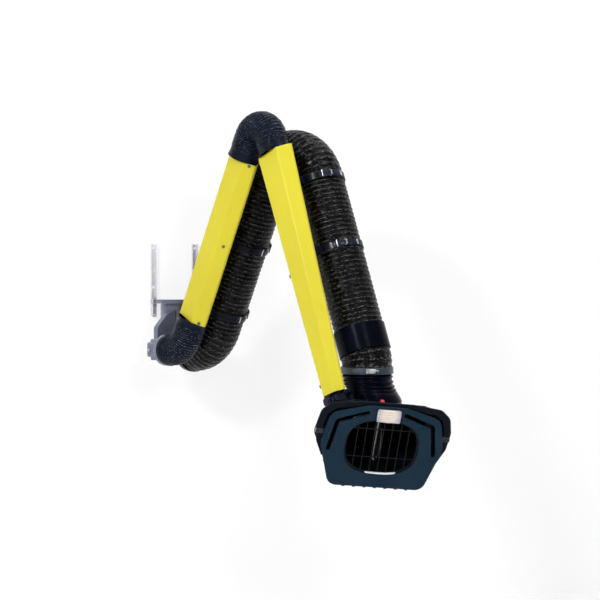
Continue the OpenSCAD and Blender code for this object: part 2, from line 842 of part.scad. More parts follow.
// Eye on the shoulder pin, with a shank that plugs into the tube
module lower_knuckle() {
  shank = tube_w - 2 * tube_t - 2 * run;
  color([0.45, 0.45, 0.48]) at_lower()
    difference() {
      union() {
        along_y(-eye_half, eye_half, eye_r - 1);
        translate([0, -eye_half, -shank / 2]) cube([low_tube_from + 40, 2 * eye_half, shank]);
      }
      along_y(-boot_r, boot_r, pin_d / 2 + run);
    }
}

module shoulder_discs() {
  color([0.25, 0.2, 0.18]) at_lower() friction_discs();
}

// Plates on both sides of the tube that hold the elbow pin
fork_from = low_cover_to - 60;

module elbow_fork() {
  color([0.42, 0.43, 0.46]) at_lower()
    difference() {
      for (side = [-1, 1])
        translate([0, side * (fork_in + cheek_t / 2), 0]) {
          translate([lower_len, 0, -elbow_in_lower]) along_y(-cheek_t / 2, cheek_t / 2, eye_r);
          translate([0, cheek_t / 2, 0]) rotate([90, 0, 0]) linear_extrude(height = cheek_t)
            polygon([
              [fork_from, -tube_half + 2], [fork_from, tube_half - 2], [low_tube_to, tube_half - 2],
              [lower_len + eye_r * 0.75, eye_r * 0.66 - elbow_in_lower],
              [lower_len - eye_r * 0.75, -eye_r * 0.66 - elbow_in_lower],
              [low_tube_to - 4, -tube_half + 2]
            ]);
        }
      translate([lower_len, 0, -elbow_in_lower]) along_y(-boot_r, boot_r, pin_d / 2 + run);
    }
}

module elbow_pin() {
  color([0.72, 0.72, 0.74]) at_upper() pivot_pin(fork_in + cheek_t);
}

module elbow_discs() {
  color([0.25, 0.2, 0.18]) at_upper() friction_discs();
}

// Upper arm

// Section of the tapered cover at x, t inside its outer face
module up_section(x, t) {
  part = (x - up_cover_from) / up_cover_len;
  depth = up_half_d0 + part * (up_half_d1 - up_half_d0);
  slant = up_cut0 + part * (up_cut1 - up_cut0);
  polygon(cover_outline(up_half_w, up_back_w, depth, slant, t));
}

module up_slice(x, t, h) {
  translate([x, 0, elbow_in_upper]) along_x() linear_extrude(height = h) up_section(x + h, t);
}

module up_prism(t, from, to) {
  thin = 0.01;
  hull() {
    up_slice(from, t, thin);
    up_slice(to - thin, t, thin);
  }
}

up_tube_from = up_cover_from - 12;
up_tube_to = up_cover_to - 16;
up_bulkheads = [
  up_cover_from, up_cover_from + (up_cover_len - bulkhead_t) / 2, up_tube_to - bulkhead_t - 14
];

module up_screws_at() {
  for (x = up_bulkheads) {
    part = (x + bulkhead_t / 2 - up_cover_from) / up_cover_len;
    translate([0, 0, elbow_in_upper])
      on_fold(
        x + bulkhead_t / 2, up_half_w, up_half_d0 + part * (up_half_d1 - up_half_d0),
        up_cut0 + part * (up_cut1 - up_cut0)) children();
  }
}

module upper_shell() {
  difference() {
    up_prism(0, up_cover_from, up_cover_to);
    up_prism(cover_t, up_cover_from - cut, up_cover_to + cut);
    up_screws_at() fold_bore();
  }
}

module upper_cover() {
  color([0.93, 0.88, 0.24]) at_upper()
    difference() {
      upper_shell();
      hose_side(up_back_w);
    }
}

module upper_back_panel() {
  color([0.9, 0.84, 0.22]) at_upper()
    intersection() {
      upper_shell();
      hose_side(up_back_w);
    }
}

module upper_cover_screws() {
  // The taper tilts the fold under a screw's head
  lift = screw_head_r * (up_half_d0 - up_half_d1 - up_cut0 + up_cut1) / up_cover_len;
  color([0.75, 0.75, 0.76]) at_upper() up_screws_at() translate([0, 0, lift]) fold_screw();
}

module upper_bulkheads() {
  color([0.2, 0.2, 0.22]) at_upper()
    difference() {
      for (x = up_bulkheads)
        up_slice(x, cover_t + gap, bulkhead_t);
      translate([0, 0, elbow_in_upper]) tube_bore(0);
      up_screws_at() fold_bore();
    }
}

module upper_tube() {
  color([0.5, 0.51, 0.53])
  at_upper() translate([0, 0, elbow_in_upper]) square_tube(up_tube_from, up_tube_to);
}

// Eye on the elbow pin, cranked out to the tube
module upper_knuckle() {
  shank = tube_w - 2 * tube_t - 2 * run;
  color([0.45, 0.45, 0.48]) at_upper()
    difference() {
      union() {
        along_y(-eye_half, eye_half, eye_r - 1);
        translate([0, eye_half, 0]) rotate([90, 0, 0]) linear_extrude(height = 2 * eye_half)
          polygon([
            [-eye_r * 0.6, eye_r * 0.7], [up_tube_from - 16, elbow_in_upper + shank / 2],
            [up_tube_from + 40, elbow_in_upper + shank / 2], [up_tube_from + 40, elbow_in_upper - shank / 2],
            [up_tube_from - 8, elbow_in_upper - shank / 2], [eye_r * 0.6, -eye_r * 0.7]
          ]);
      }
      along_y(-boot_r, boot_r, pin_d / 2 + run);
    }
}

tilt_boss_r = tilt_d / 2 + 7;
tilt_boss_half = 24;

// End of the arm: a shank in the tube and the boss that the hood tilts in
module arm_end_bracket() {
  shank = tube_w - 2 * tube_t - 2 * run;
  color([0.12, 0.15, 0.23]) at_upper()
    difference() {
      union() {
        translate([upper_len, 0, tilt_z]) along_y(-tilt_boss_half, tilt_boss_half, tilt_boss_r);
        translate([up_tube_to - 40, -shank / 2, elbow_in_upper - shank / 2])
          cube([upper_len - up_tube_to + 36, shank, shank]);
        translate([upper_len - 12, -tilt_boss_half + 4, tilt_z])
          cube([16, 2 * tilt_boss_half - 8, elbow_in_upper - tilt_z + shank / 2]);
      }
      translate([upper_len, 0, tilt_z]) along_y(-boot_r, boot_r, tilt_d / 2 + run);
    }
}

// Hood carrier

bellows_from = neck_pose[0] - [0, gap];
yoke_up = [sin(hood_lean), cos(hood_lean)];
collar_low = tilt + collar_ahead * [cos(hood_lean), -sin(hood_lean)] - collar_drop * yoke_up;
bellows_to = collar_low + yoke_h * yoke_up;
bellows_pull = 48;
bellows_pull_low = 14;

// Curve from the neck to the yoke ring, with the heading turned evenly
function bellows_pose(k) =
  let (
    p1 = bellows_from - [0, bellows_pull],
    p2 = bellows_to + bellows_pull_low * yoke_up,
    j = 1 - k
  )
  [j * j * j * bellows_from + 3 * j * j * k * p1 + 3 * j * k * k * p2 + k * k * k * bellows_to,
   -90 - k * hood_lean];

module hood_bellows() {
  ribs = round(norm(bellows_to - bellows_from) / bellows_pitch);
  flare = yoke_r - hose_r;
  rib = 5;
  outer = [for (i = [0:ribs - 1])
    each [
      ring_at(bellows_pose(i / ribs), hose_r - 4 + flare * pow(i / ribs, 2)),
      ring_at(bellows_pose((i + 0.5) / ribs), hose_r - 4 + rib + flare * pow(i / ribs, 2))
    ]];
  inner = [for (i = [0:4]) ring_at(bellows_pose(i / 4), hose_bore - 3 + flare * pow(i / 4, 2))];
  color([0.06, 0.06, 0.07]) at_swivel()
    skin(concat(outer, [ring_at(bellows_pose(1), yoke_r - 4)], reversed(inner)));
}

yoke_seat_z = 2;
yoke_lip_z = 12;

// Ring round the hood's neck, with the arm and the shaft that it tilts on
module hood_yoke() {
  boss_end = arm_offset - tilt_boss_half - gap;
  web_end = arm_offset - up_back_w - 2;
  color([0.13, 0.16, 0.24])
  at_yoke()
  difference() {
    union() {
      translate([0, 0, yoke_seat_z]) cylinder(r = yoke_r, h = yoke_h - yoke_seat_z);
      translate([-collar_ahead, 0, collar_drop]) {
        along_y(-boss_end, -yoke_r - 6, tilt_boss_r - 3);
        along_y(-arm_offset - tilt_boss_half - 14, -boss_end, tilt_d / 2);
      }
      translate([-collar_ahead - tilt_boss_r, -web_end, yoke_seat_z])
        cube([2 * tilt_boss_r, web_end - yoke_r + 18, yoke_h - yoke_seat_z - 4]);
    }
    translate([0, 0, -2 * yoke_h]) cylinder(r = collar_r + run, h = 4 * yoke_h);
    translate([0, 0, yoke_lip_z]) cylinder(r = collar_r + 6, h = yoke_h);
    translate([0, 0, yoke_seat_z - yoke_h]) cylinder(r = throat_r + 4 + cut, h = yoke_h);
  }
}

module yoke_nut() {
  color([0.7, 0.7, 0.72])
  at_yoke() translate([-collar_ahead, -arm_offset, collar_drop])
  difference() {
    along_y(-tilt_boss_half - 11, -tilt_boss_half - gap, tilt_d / 2 + 7, 6);
    along_y(-tilt_boss_half - 12, 0, tilt_d / 2);
  }
}

// Hood

shell_top = -14;
collar_bore = collar_r - 4;

// Neck that turns in the yoke ring, with its shoulder and skirt
module hood_collar() {
  color([0.2, 0.25, 0.32])
  at_hood() rotate_extrude()
    polygon([
      [collar_bore, yoke_lip_z + gap], [collar_bore, -2], [throat_r - hood_wall, -9],
      [throat_r - hood_wall, shell_top], [throat_r, shell_top], [throat_r, -7], [throat_r + 4, -5],
      [throat_r + 4, yoke_seat_z - gap], [collar_r, yoke_seat_z - gap], [collar_r, yoke_lip_z + gap]
    ]);
}

module collar_retainer() {
  color([0.6, 0.61, 0.64])
  at_hood() translate([0, 0, yoke_lip_z + gap]) tube(collar_r + 5, collar_bore, 4);
}

// Distance from the middle of the mouth to its rim at an angle, grown outwards
mouth_power = 2.7;
function mouth_reach(turned, grow) =
  pow(
    pow(abs(cos(turned)) / (mouth_w / 2 + grow), mouth_power)
      + pow(abs(sin(turned)) / (mouth_h / 2 + grow), mouth_power),
    -1 / mouth_power);
function mouth_outline(grow) =
  [for (i = [0:face_sides - 1])
    let (turned = 360 * (i + 0.5) / face_sides)
    mouth_reach(turned, grow) * [cos(turned), sin(turned)]];

// Shell of the hood: each line of it leaves the collar downwards and reaches the mouth along its axis
shell_steps = 9;
out = [cos(face_pitch), -sin(face_pitch)];
up_face = [sin(face_pitch), cos(face_pitch)];
face_mid = [face_ahead, -face_low];
collar_pull = 62;
collar_pull_back = 52;
mouth_pull = 58;

// Point of the shell at an angle round it, k of the way from the collar, inset from the outer face
function shell_point(turned, k, inset) =
  let (
    r = throat_r - inset,
    reach = mouth_reach(turned, hood_wall - inset),
    rim = face_mid - face_t * out + reach * sin(turned) * up_face,
    a = [r * sin(turned), r * cos(turned), shell_top],
    d = [rim[0], reach * cos(turned), rim[1]],
    b = a - [0, 0, collar_pull - (collar_pull_back - inset) * sin(turned)],
    c = d - mouth_pull * [out[0], 0, out[1]],
    j = 1 - k
  )
  j * j * j * a + 3 * j * j * k * b + 3 * j * k * k * c + k * k * k * d;
function shell_ring(k, inset) =
  [for (i = [0:face_sides - 1]) shell_point(360 * (i + 0.5) / face_sides, k, inset)];
function shell_rings(inset) = [for (i = [0:shell_steps]) shell_ring(i / shell_steps, inset)];

// Height on the face where the damper axle passes the shell's wall, above or below
function axle_pass(turned) =
  let (
    steps = 60,
    lines = [for (i = [0:steps]) shell_point(turned, i / steps, hood_wall / 2)],
    flat = [for (p = lines) [p[0], p[2]] - face_mid],
    past = [for (p = flat) if (p * out > -damper_back) p * up_face]
  )
  past[0];

axle_boss_r = axle_d / 2 + 5;
axle_high = axle_pass(90);
axle_deep = axle_pass(270);
axle_low = axle_deep - 9;
axle_top = axle_high + 24;
blade_mid = (axle_high + axle_deep) / 2;
blade_r = min((axle_high - axle_deep) / 2 - 9, damper_back - face_t - 14);

module lamp_block(grow, depth) {
  translate([lamp_x, lamp_y, -depth]) linear_extrude(height = depth)
    polygon(rounded(box_outline(lamp_w + 2 * grow, lamp_h + 2 * grow), same(8 + grow, 4)));
}
lamp_x = 6;
lamp_y = 110;

module hood_shell() {
  color([0.11, 0.16, 0.2])
  difference() {
    union() {
      at_hood() skin(concat(shell_rings(0), reversed(shell_rings(hood_wall))));
      at_face() translate([0, 0, -damper_back]) {
        along_y(axle_high - 6, axle_high + 10, axle_boss_r);
        along_y(axle_low - 3, axle_deep + 6, axle_boss_r);
      }
    }
    at_face() translate([0, 0, -damper_back]) along_y(axle_low, axle_top, axle_d / 2 + run);
    at_face() lamp_block(gap, lamp_d + gap);
  }
}

mouth_lip = 4;
face_half = [[150, -139], [194, 5], [174, 108], [60, 140]];
face_radii = [34, 70, 44, 80];
slot_path = [[54, 117], [150, 82], [168, -21]];
slot_w = 13;

// Outline of a grip slot: its path widened to both sides, with round ends
slot_first = unit(slot_path[1] - slot_path[0]);
slot_second = unit(slot_path[2] - slot_path[1]);
slot_out = [slot_first[1], -slot_first[0]] * slot_w / 2;
slot_out_end = [slot_second[1], -slot_second[0]] * slot_w / 2;
slot_bend = unit(slot_out + slot_out_end) * slot_w / 2 / cos(acos(slot_first * slot_second) / 2);
slot_end_r = slot_w * 0.48;

module slot() {
  polygon(rounded(
    [slot_path[0] - slot_out, slot_path[1] - slot_bend, slot_path[2] - slot_out_end,
     slot_path[2] + slot_out_end, slot_path[1] + slot_bend, slot_path[0] + slot_out],
    [slot_end_r, slot_w * 1.2, slot_end_r, slot_end_r, slot_w * 0.2, slot_end_r], 5));
}

module face_outline() {
  polygon(rounded(mirrored(face_half), concat(face_radii, reversed(face_radii)), 6));
}

module hood_face() {
  color([0.11, 0.18, 0.23])
  at_face()
  difference() {
    translate([0, 0, -face_t]) linear_extrude(height = face_t)
      difference() {
        face_outline();
        polygon(mouth_outline(-mouth_lip));
        slot();
        mirror([1, 0]) slot();
      }
    translate([0, 0, cut]) lamp_block(gap, face_t + 2 * cut);
  }
}

// Pan behind the face, round the mouth: its side wall widens towards the bow
pan_front = [[100, -112], [150, -60], [187, 10], [167, 100], [58, 134]];
pan_back = [[100, -100], [150, -60], [192, 28], [170, 97], [114, 115]];
pan_radii = [30, 60, 50, 30, 40];
pan_d = bow_back + bow_r;

module pan_outline(half, t) {
  offset(delta = -t) polygon(rounded(mirrored(half), concat(pan_radii, reversed(pan_radii)), 6));
}

module pan_form(t) {
  thin = 0.01;
  hull() {
    translate([0, 0, t > 0 ? cut - face_t : -face_t - thin]) linear_extrude(height = thin)
      pan_outline(pan_front, t);
    translate([0, 0, t - pan_d]) linear_extrude(height = thin) pan_outline(pan_back, t);
  }
}

module hood_pan() {
  color([0.1, 0.15, 0.19])
  at_face()
  difference() {
    pan_form(0);
    pan_form(hood_wall);
    translate([0, 0, -2 * pan_d]) linear_extrude(height = 3 * pan_d)
      polygon(mouth_outline(hood_wall + cut));
    lamp_block(gap, lamp_d + gap);
    for (side = [0, 1])
      mirror([side, 0, 0]) translate([clip_from - gap, clip_y - clip_w / 2 - gap, bow_r - bow_back])
        cube([pan_d, clip_w + 2 * gap, pan_d]);
  }
}

// Bow behind the face, drawn from its right end over the top to its left end
bow_half = [[164, -62], [206, 28], [183, 112], [120, 130]];
clip_y = 40;
clip_w = 14;
clip_from = bow_half[1][0] - 27;
clip_to = bow_half[1][0] + 5.5;
bow_path = let (
    pts = mirrored(bow_half),
    n = len(pts)
  )
  concat(
    [pts[0]],
    [for (i = [1:n - 2]) each corner_arc(pts[i - 1], pts[i], pts[i + 1], 34, 3)],
    [pts[n - 1]]);

module hood_bow() {
  n = 10;
  m = len(bow_path);
  function heading(i) = unit(bow_path[min(i + 1, m - 1)] - bow_path[max(i - 1, 0)]);
  rings = [for (i = [0:m - 1])
    let (t = heading(i))
    [for (k = [0:n - 1])
      let (turned = 360 * k / n)
      [bow_path[i][0] - bow_r * cos(turned) * t[1], bow_path[i][1] + bow_r * cos(turned) * t[0],
       bow_r * sin(turned)]]];
  walls = [for (j = [0:m - 2]) for (k = [0:n - 1])
    let (a = j * n + k, b = j * n + (k + 1) % n, c = b + n, d = a + n)
    each [[a, c, b], [a, d, c]]];
  caps = [for (k = [1:n - 2]) each [[0, k, k + 1], [(m - 1) * n, (m - 1) * n + k + 1, (m - 1) * n + k]]];
  color([0.13, 0.17, 0.21])
  at_face() union() {
    translate([0, 0, -bow_back]) polyhedron(points = [for (r = rings) each r], faces = concat(walls, caps));
    for (side = [-1, 1])
      translate([side * (bow_half[0][0] + 3), bow_half[0][1] + 5, -bow_back])
        cylinder(r = bow_r - 2, h = bow_back - face_t);
  }
}

module bow_clips() {
  color([0.45, 0.47, 0.5])
  at_face()
    for (side = [0, 1])
      mirror([side, 0, 0]) translate([clip_from, clip_y - clip_w / 2, bow_r + gap - bow_back])
        cube([clip_to - clip_from, clip_w, bow_back - bow_r - gap - face_t]);
}

// Welded wire grille on a flat frame behind the face
module hood_grille() {
  frame_out = -1.5;
  frame_in = -9;
  frame_t = 3;
  pitch = 27;
  front = -face_t;
  color([0.5, 0.52, 0.55])
  at_face() {
    difference() {
      translate([0, 0, front - frame_t]) linear_extrude(height = frame_t)
        difference() {
          polygon(mouth_outline(frame_out));
          polygon(mouth_outline(frame_in));
        }
      lamp_block(gap, lamp_d);
    }
    difference() {
      intersection() {
        translate([0, 0, front - lamp_d]) linear_extrude(height = lamp_d)
          polygon(mouth_outline(frame_out - 2));
        union() {
          for (i = [0:wire_count - 1])
            translate([(i - (wire_count - 1) / 2) * pitch, 0, front - wire_d / 2])
              along_y(-mouth_h, mouth_h, wire_d / 2);
          for (y = [-38, 58])
            translate([-mouth_w, y, front - 1.1 * wire_d])
              along_x() cylinder(r = wire_d / 2, h = 2 * mouth_w);
        }
      }
      lamp_block(gap, lamp_d);
    }
  }
}

lens_back = 4;
lamp_wall = 2;

module lamp_housing() {
  color([0.1, 0.11, 0.12])
  at_face()
  difference() {
    lamp_block(0, lamp_d);
    translate([lamp_x, lamp_y, lamp_wall - lamp_d]) linear_extrude(height = lamp_d)
      polygon(rounded(box_outline(lamp_w - 2 * lamp_wall, lamp_h - 2 * lamp_wall), same(6, 4)));
  }
}

// Lens with upright flutes, held in the mouth of its housing
module lamp_lens() {
  flutes = 9;
  wide = lamp_w - 2 * lamp_wall;
  high = lamp_h - 2 * lamp_wall;
  pitch = wide / flutes;
  front = [for (i = [0:flutes - 1])
    each [[i * pitch - wide / 2, 4], [(i + 0.5) * pitch - wide / 2, 6.5]]];
  color([0.95, 0.93, 0.86])
  at_face() translate([lamp_x, lamp_y, 0])
  intersection() {
    translate([0, high / 2, 0]) rotate([90, 0, 0]) linear_extrude(height = high)
      polygon(concat(front, [[wide / 2, 4], [wide / 2, -lens_back], [-wide / 2, -lens_back]]));
    translate([0, 0, -lens_back]) linear_extrude(height = 20)
      polygon(rounded(box_outline(wide, high), same(6, 4)));
  }
}

// Bulb on a socket that stands on the back wall of the lamp
module lamp_bulb() {
  step = lamp_d / 5;
  color([0.97, 0.95, 0.88])
  at_face() translate([lamp_x, lamp_y, lamp_wall - lamp_d]) {
    cylinder(r = 11, h = step);
    translate([0, 0, step]) cylinder(r = 6, h = step);
    translate([0, 0, 2 * step]) sphere(r = 6);
  }
}

// Damper

module damper_axle() {
  color([0.75, 0.76, 0.78])
  at_face() translate([0, 0, -damper_back]) along_y(axle_low + gap, axle_top, axle_d / 2);
}

module damper_blade() {
  color([0.62, 0.63, 0.66])
  at_face() translate([0, 0, -damper_back])
  difference() {
    translate([0, blade_mid, 0]) rotate([0, 90, 0]) cylinder(r = blade_r, h = blade_t, center = true);
    along_y(-2 * throat_r, 2 * throat_r, axle_d / 2);
  }
}

module damper_lever() {
  color([0.8, 0.24, 0.26])
  at_face() translate([0, axle_top - 8, -damper_back])
  difference() {
    union() {
      along_y(0, 14, axle_d / 2 + 5);
      translate([5, 0, 0]) rotate([0, -90, 0]) linear_extrude(height = 10)
        polygon(rounded([[-16, 8], [16, 8], [13, 30], [-13, 30]], same(4, 4)));
    }
    along_y(-cut, 8, axle_d / 2);
  }
}

rail_left();
rail_right();
bracket_flange();
bracket_clips();
bracket_bolts();
swivel_bush();
swivel_retainer();
swivel_elbow();
shoulder_housing();
housing_plate();
housing_screws();
boot_ring();
shoulder_fork();
shoulder_pin();
outlet_clamp();
hose_base_bend();
shoulder_boot();
lower_tube();
lower_knuckle();
shoulder_discs();
lower_bulkheads();
lower_cover();
lower_back_panel();
lower_cover_screws();
hose_lower();
lower_straps();
elbow_fork();
elbow_pin();
elbow_discs();
elbow_boot();
hose_elbow_bend();
upper_knuckle();
upper_tube();
upper_bulkheads();
upper_cover();
upper_back_panel();
upper_cover_screws();
hose_upper();
upper_straps();
hose_cuff();
hose_neck();
neck_clamp();
arm_end_bracket();
hood_bellows();
hood_yoke();
yoke_nut();
hood_collar();
collar_retainer();
hood_shell();
hood_face();
hood_pan();
hood_bow();
bow_clips();
hood_grille();
lamp_housing();
lamp_lens();
lamp_bulb();
damper_axle();
damper_blade();
damper_lever();
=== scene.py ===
"""Looks of a wall-mounted fume extraction arm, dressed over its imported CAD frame."""

import json
import math

import bmesh
import bpy
import numpy as np
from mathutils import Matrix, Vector, noise


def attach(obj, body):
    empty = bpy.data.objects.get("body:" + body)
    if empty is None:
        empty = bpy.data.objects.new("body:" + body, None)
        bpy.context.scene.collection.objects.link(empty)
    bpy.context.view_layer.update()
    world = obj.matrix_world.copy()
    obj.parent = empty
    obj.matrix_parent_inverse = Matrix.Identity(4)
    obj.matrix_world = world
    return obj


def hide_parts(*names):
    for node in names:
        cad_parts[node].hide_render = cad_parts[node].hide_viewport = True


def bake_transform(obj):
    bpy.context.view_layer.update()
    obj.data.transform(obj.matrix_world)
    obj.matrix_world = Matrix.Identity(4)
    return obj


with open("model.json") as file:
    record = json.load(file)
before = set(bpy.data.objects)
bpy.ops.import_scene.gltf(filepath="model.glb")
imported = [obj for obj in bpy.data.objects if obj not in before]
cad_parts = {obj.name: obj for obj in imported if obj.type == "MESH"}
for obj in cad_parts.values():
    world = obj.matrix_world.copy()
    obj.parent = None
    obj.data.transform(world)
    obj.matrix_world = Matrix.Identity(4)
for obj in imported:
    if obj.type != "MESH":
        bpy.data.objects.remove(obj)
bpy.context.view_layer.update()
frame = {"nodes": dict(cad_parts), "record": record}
scene = bpy.context.scene
nodes = frame["nodes"]

# Sizes of the CAD source, in metres and degrees

STANDOFF, SWING = 0.115, 60.0
RISE, FALL = 62.8, 69.2
LEAN, YAW = 9.0, 34.0
OUTLET_Z = -0.304
ARM_SIDE = -0.156
REACH, LOWER, UPPER = 0.2335, 0.868, 0.9625
ELBOW_IN_LOWER, ELBOW_IN_UPPER, TILT_Z = 0.033, 0.033, 0.0135
HOSE_R, HOSE_RIB, HOSE_BORE, RIB_PITCH = 0.082, 0.003, 0.0775, 0.016
HOSE_FROM, HOSE_OUT_LOW, HOSE_OUT_UP = 0.092, 0.03, 0.047
BASE_BEND, TOP_BEND, NECK_BEND, NECK_TAIL = 0.15, 0.147, 0.12, 0.022
BOOT_R, BOOT_RIB, BOOT_WALL = 0.055, 0.0035, 0.002
SHOULDER_BEND, ELBOW_BEND, RING_BACK = 0.1, 0.0575, 0.0665
LOW_COVER_FROM, LOW_COVER_TO = 0.132, 0.7405
UP_COVER_FROM, UP_COVER_TO = 0.1145, 0.944
LOW_STRAP_IN, LOW_STRAP_SHARE = 0.02, 0.47
UP_STRAP_IN, UP_STRAP_SHARE = 0.014, 0.42
CUFF_END = 0.8195
COLLAR_AHEAD, COLLAR_BELOW = 0.0246, 0.013
YOKE_R, YOKE_H = 0.086, 0.022
FACE_AHEAD, FACE_LOW, FACE_PITCH, FACE_T = 0.175, 0.102, 14.0, 0.008
MOUTH_W, MOUTH_H, MOUTH_POWER, MOUTH_LIP = 0.24, 0.192, 2.7, 0.004
THROAT_R, SHELL_TOP, HOOD_WALL = 0.078, -0.014, 0.003
SHELL_DROP, SHELL_BELLY, SHELL_LEAD = 0.062, 0.052, 0.058
BOW_BACK, BOW_R = 0.035, 0.008
LAMP_X, LAMP_Y, LAMP_W, LAMP_H, LAMP_GAP = 0.006, 0.11, 0.078, 0.046, 0.0003
DAMPER_BACK = 0.09


def unit(v):
    return np.asarray(v) / np.linalg.norm(v)


def along(a):
    """Direction at an angle in the plane of the arm."""
    return np.array([math.cos(math.radians(a)), math.sin(math.radians(a))])


def left_of(a):
    c, s = along(a)
    return np.array([-s, c])


def turn_y(a):
    c, s = along(a)
    return np.array([[c, 0, s], [0, 1, 0], [-s, 0, c]])


def turn_z(a):
    c, s = along(a)
    return np.array([[c, -s, 0], [s, c, 0], [0, 0, 1]])


def bezier(a, b, c, d, k):
    j = 1 - k
    return j ** 3 * a + 3 * j * j * k * b + 3 * j * k * k * c + k ** 3 * d


SHOULDER = np.array([REACH, OUTLET_Z])
ELBOW = SHOULDER + LOWER * along(RISE) - ELBOW_IN_LOWER * left_of(RISE)
TILT = ELBOW + UPPER * along(-FALL) + TILT_Z * left_of(-FALL)
FACE_OUT, FACE_UP = along(-FACE_PITCH), left_of(-FACE_PITCH)


# Frames of the moving bodies at rest: arrays of points in, points of the part's frame out

def at_swivel(p):
    return np.asarray(p) @ turn_z(-SWING).T + np.array([0, -STANDOFF, 0])


def at_lower(p):
    return at_swivel(np.asarray(p) @ turn_y(-RISE).T + np.array([SHOULDER[0], ARM_SIDE, SHOULDER[1]]))


def at_upper(p):
    return at_swivel(np.asarray(p) @ turn_y(FALL).T + np.array([ELBOW[0], ARM_SIDE, ELBOW[1]]))


def at_yoke(p):
    p = np.asarray(p) + np.array([COLLAR_AHEAD, 0, -COLLAR_BELOW])
    return at_swivel(p @ turn_y(LEAN).T + np.array([TILT[0], 0, TILT[1]]))


def at_hood(p):
    return at_yoke(np.asarray(p) @ turn_z(-YAW).T)


def at_face(p):
    """Points of the face: across it, up it and out of it."""
    p = np.asarray(p)
    p = np.stack([p[..., 2], p[..., 0], p[..., 1]], axis=-1)
    return at_hood(p @ turn_y(FACE_PITCH).T + np.array([FACE_AHEAD, 0, -FACE_LOW]))


# Materials

def new_material(name):
    m = bpy.data.materials.new(name)
    m.use_nodes = True
    t = m.node_tree
    return m, t, t.nodes["Principled BSDF"]


def node(t, kind, **values):
    """New shader node: each value goes to the input of that name, or else to the setting."""
    n = t.nodes.new(kind)
    for key, value in values.items():
        if key in n.inputs:
            n.inputs[key].default_value = value
        else:
            setattr(n, key, value)
    return n


def maths(t, operation, one, two):
    """Math node on two values, each a socket or a number."""
    n = node(t, "ShaderNodeMath", operation=operation)
    for value, socket in zip((one, two), n.inputs):
        if isinstance(value, float):
            socket.default_value = value
        else:
            t.links.new(value, socket)
    return n.outputs[0]


def ramp(t, source, stops):
    n = t.nodes.new("ShaderNodeValToRGB")
    e = n.color_ramp.elements
    while len(e) < len(stops):
        e.new(0.5)
    for spot, (place, value) in zip(e, stops):
        spot.position = place
        spot.color = (*value, 1) if isinstance(value, tuple) else (value, value, value, 1)
    t.links.new(source, n.inputs[0])
    return n.outputs[0]


def coords(t, stretch=(1, 1, 1), uv=False, slant=0.0):
    c = t.nodes.new("ShaderNodeTexCoord")
    m = t.nodes.new("ShaderNodeMapping")
    m.inputs["Scale"].default_value = stretch
    m.inputs["Rotation"].default_value = (0, 0, slant)
    t.links.new(c.outputs["UV" if uv else "Object"], m.inputs["Vector"])
    return m.outputs["Vector"]


def noise_at(t, where, scale, detail=4.0, rough=0.55):
    n = node(t, "ShaderNodeTexNoise", Scale=scale, Detail=detail, Roughness=rough)
    t.links.new(where, n.inputs["Vector"])
    return n.outputs["Fac"]


def ridges_at(t, where):
    """Noise with sharp crests, as creased cloth has."""
    n = node(t, "ShaderNodeTexNoise", Scale=1.0, Detail=2.0, Roughness=0.5,
             noise_type="RIDGED_MULTIFRACTAL", normalize=True)
    t.links.new(where, n.inputs["Vector"])
    return n.outputs["Fac"]


def bump(t, shader, layers, normal=None):
    """Stacks bump layers of (height, strength, distance in metres) on a shader."""
    for height, strength, distance in layers:
        b = node(t, "ShaderNodeBump", Strength=strength, Distance=distance)
        t.links.new(height, b.inputs["Height"])
        if normal:
            t.links.new(normal, b.inputs["Normal"])
        normal = b.outputs["Normal"]
    t.links.new(normal, shader.inputs["Normal"])


def worn_and_highlit_edges(t, colour, edge, eased, where):
    """Mixes the edge's colour in where the eased normal leaves the true one, broken up by noise. The pale
    edge colour is partly wear and partly a painted highlight along edges and fold ridges.
    """
    geo = t.nodes.new("ShaderNodeNewGeometry")
    dot = node(t, "ShaderNodeVectorMath", operation="DOT_PRODUCT")
    t.links.new(eased, dot.inputs[0])
    t.links.new(geo.outputs["Normal"], dot.inputs[1])
    on_edge = ramp(t, dot.outputs["Value"], [(0.93, 1.0), (0.995, 0.0)])
    patches = ramp(t, noise_at(t, where, 45.0, 5.0, 0.7), [(0.35, 0.35), (0.6, 1.0)])
    mix = node(t, "ShaderNodeMix", data_type="RGBA")
    first_colour, second_colour, mixed_colour = mix.inputs[6], mix.inputs[7], mix.outputs[2]
    second_colour.default_value = (*edge, 1)
    t.links.new(maths(t, "MULTIPLY", on_edge, patches), mix.inputs[0])
    t.links.new(colour, first_colour)
    return mixed_colour


MATERIALS = {}


def finish(name, dark, light, rough, metal=0.0, grain=700.0, grain_depth=0.00012, patch=9.0, specular=0.5,
           edge=None, edge_r=0.0016, spread=0.08):
    """A surface with patches of colour, fine grain, uneven gloss, eased edges and, if wanted, pale edges that
    are partly wear and partly painted highlight.
    """
    m, t, p = new_material(name)
    where = coords(t)
    patches = noise_at(t, where, patch, 5.0)
    fine = noise_at(t, where, grain, 3.0)
    colour = ramp(t, patches, [(0.3, dark), (0.7, light)])
    eased = node(t, "ShaderNodeBevel", Radius=edge_r, samples=6).outputs[0]
    if edge:
        colour = worn_and_highlit_edges(t, colour, edge, eased, where)
    t.links.new(colour, p.inputs["Base Color"])
    gloss = noise_at(t, where, patch * 5, 6.0, 0.65)
    glossy, dull = max(0.02, rough - spread), rough + spread
    t.links.new(ramp(t, gloss, [(0.25, glossy), (0.75, dull)]), p.inputs["Roughness"])
    p.inputs["Metallic"].default_value = metal
    p.inputs["Specular IOR Level"].default_value = specular
    bump(t, p, [(fine, 0.35, grain_depth), (gloss, 0.12, grain_depth * 3)], eased)
    MATERIALS[name] = m


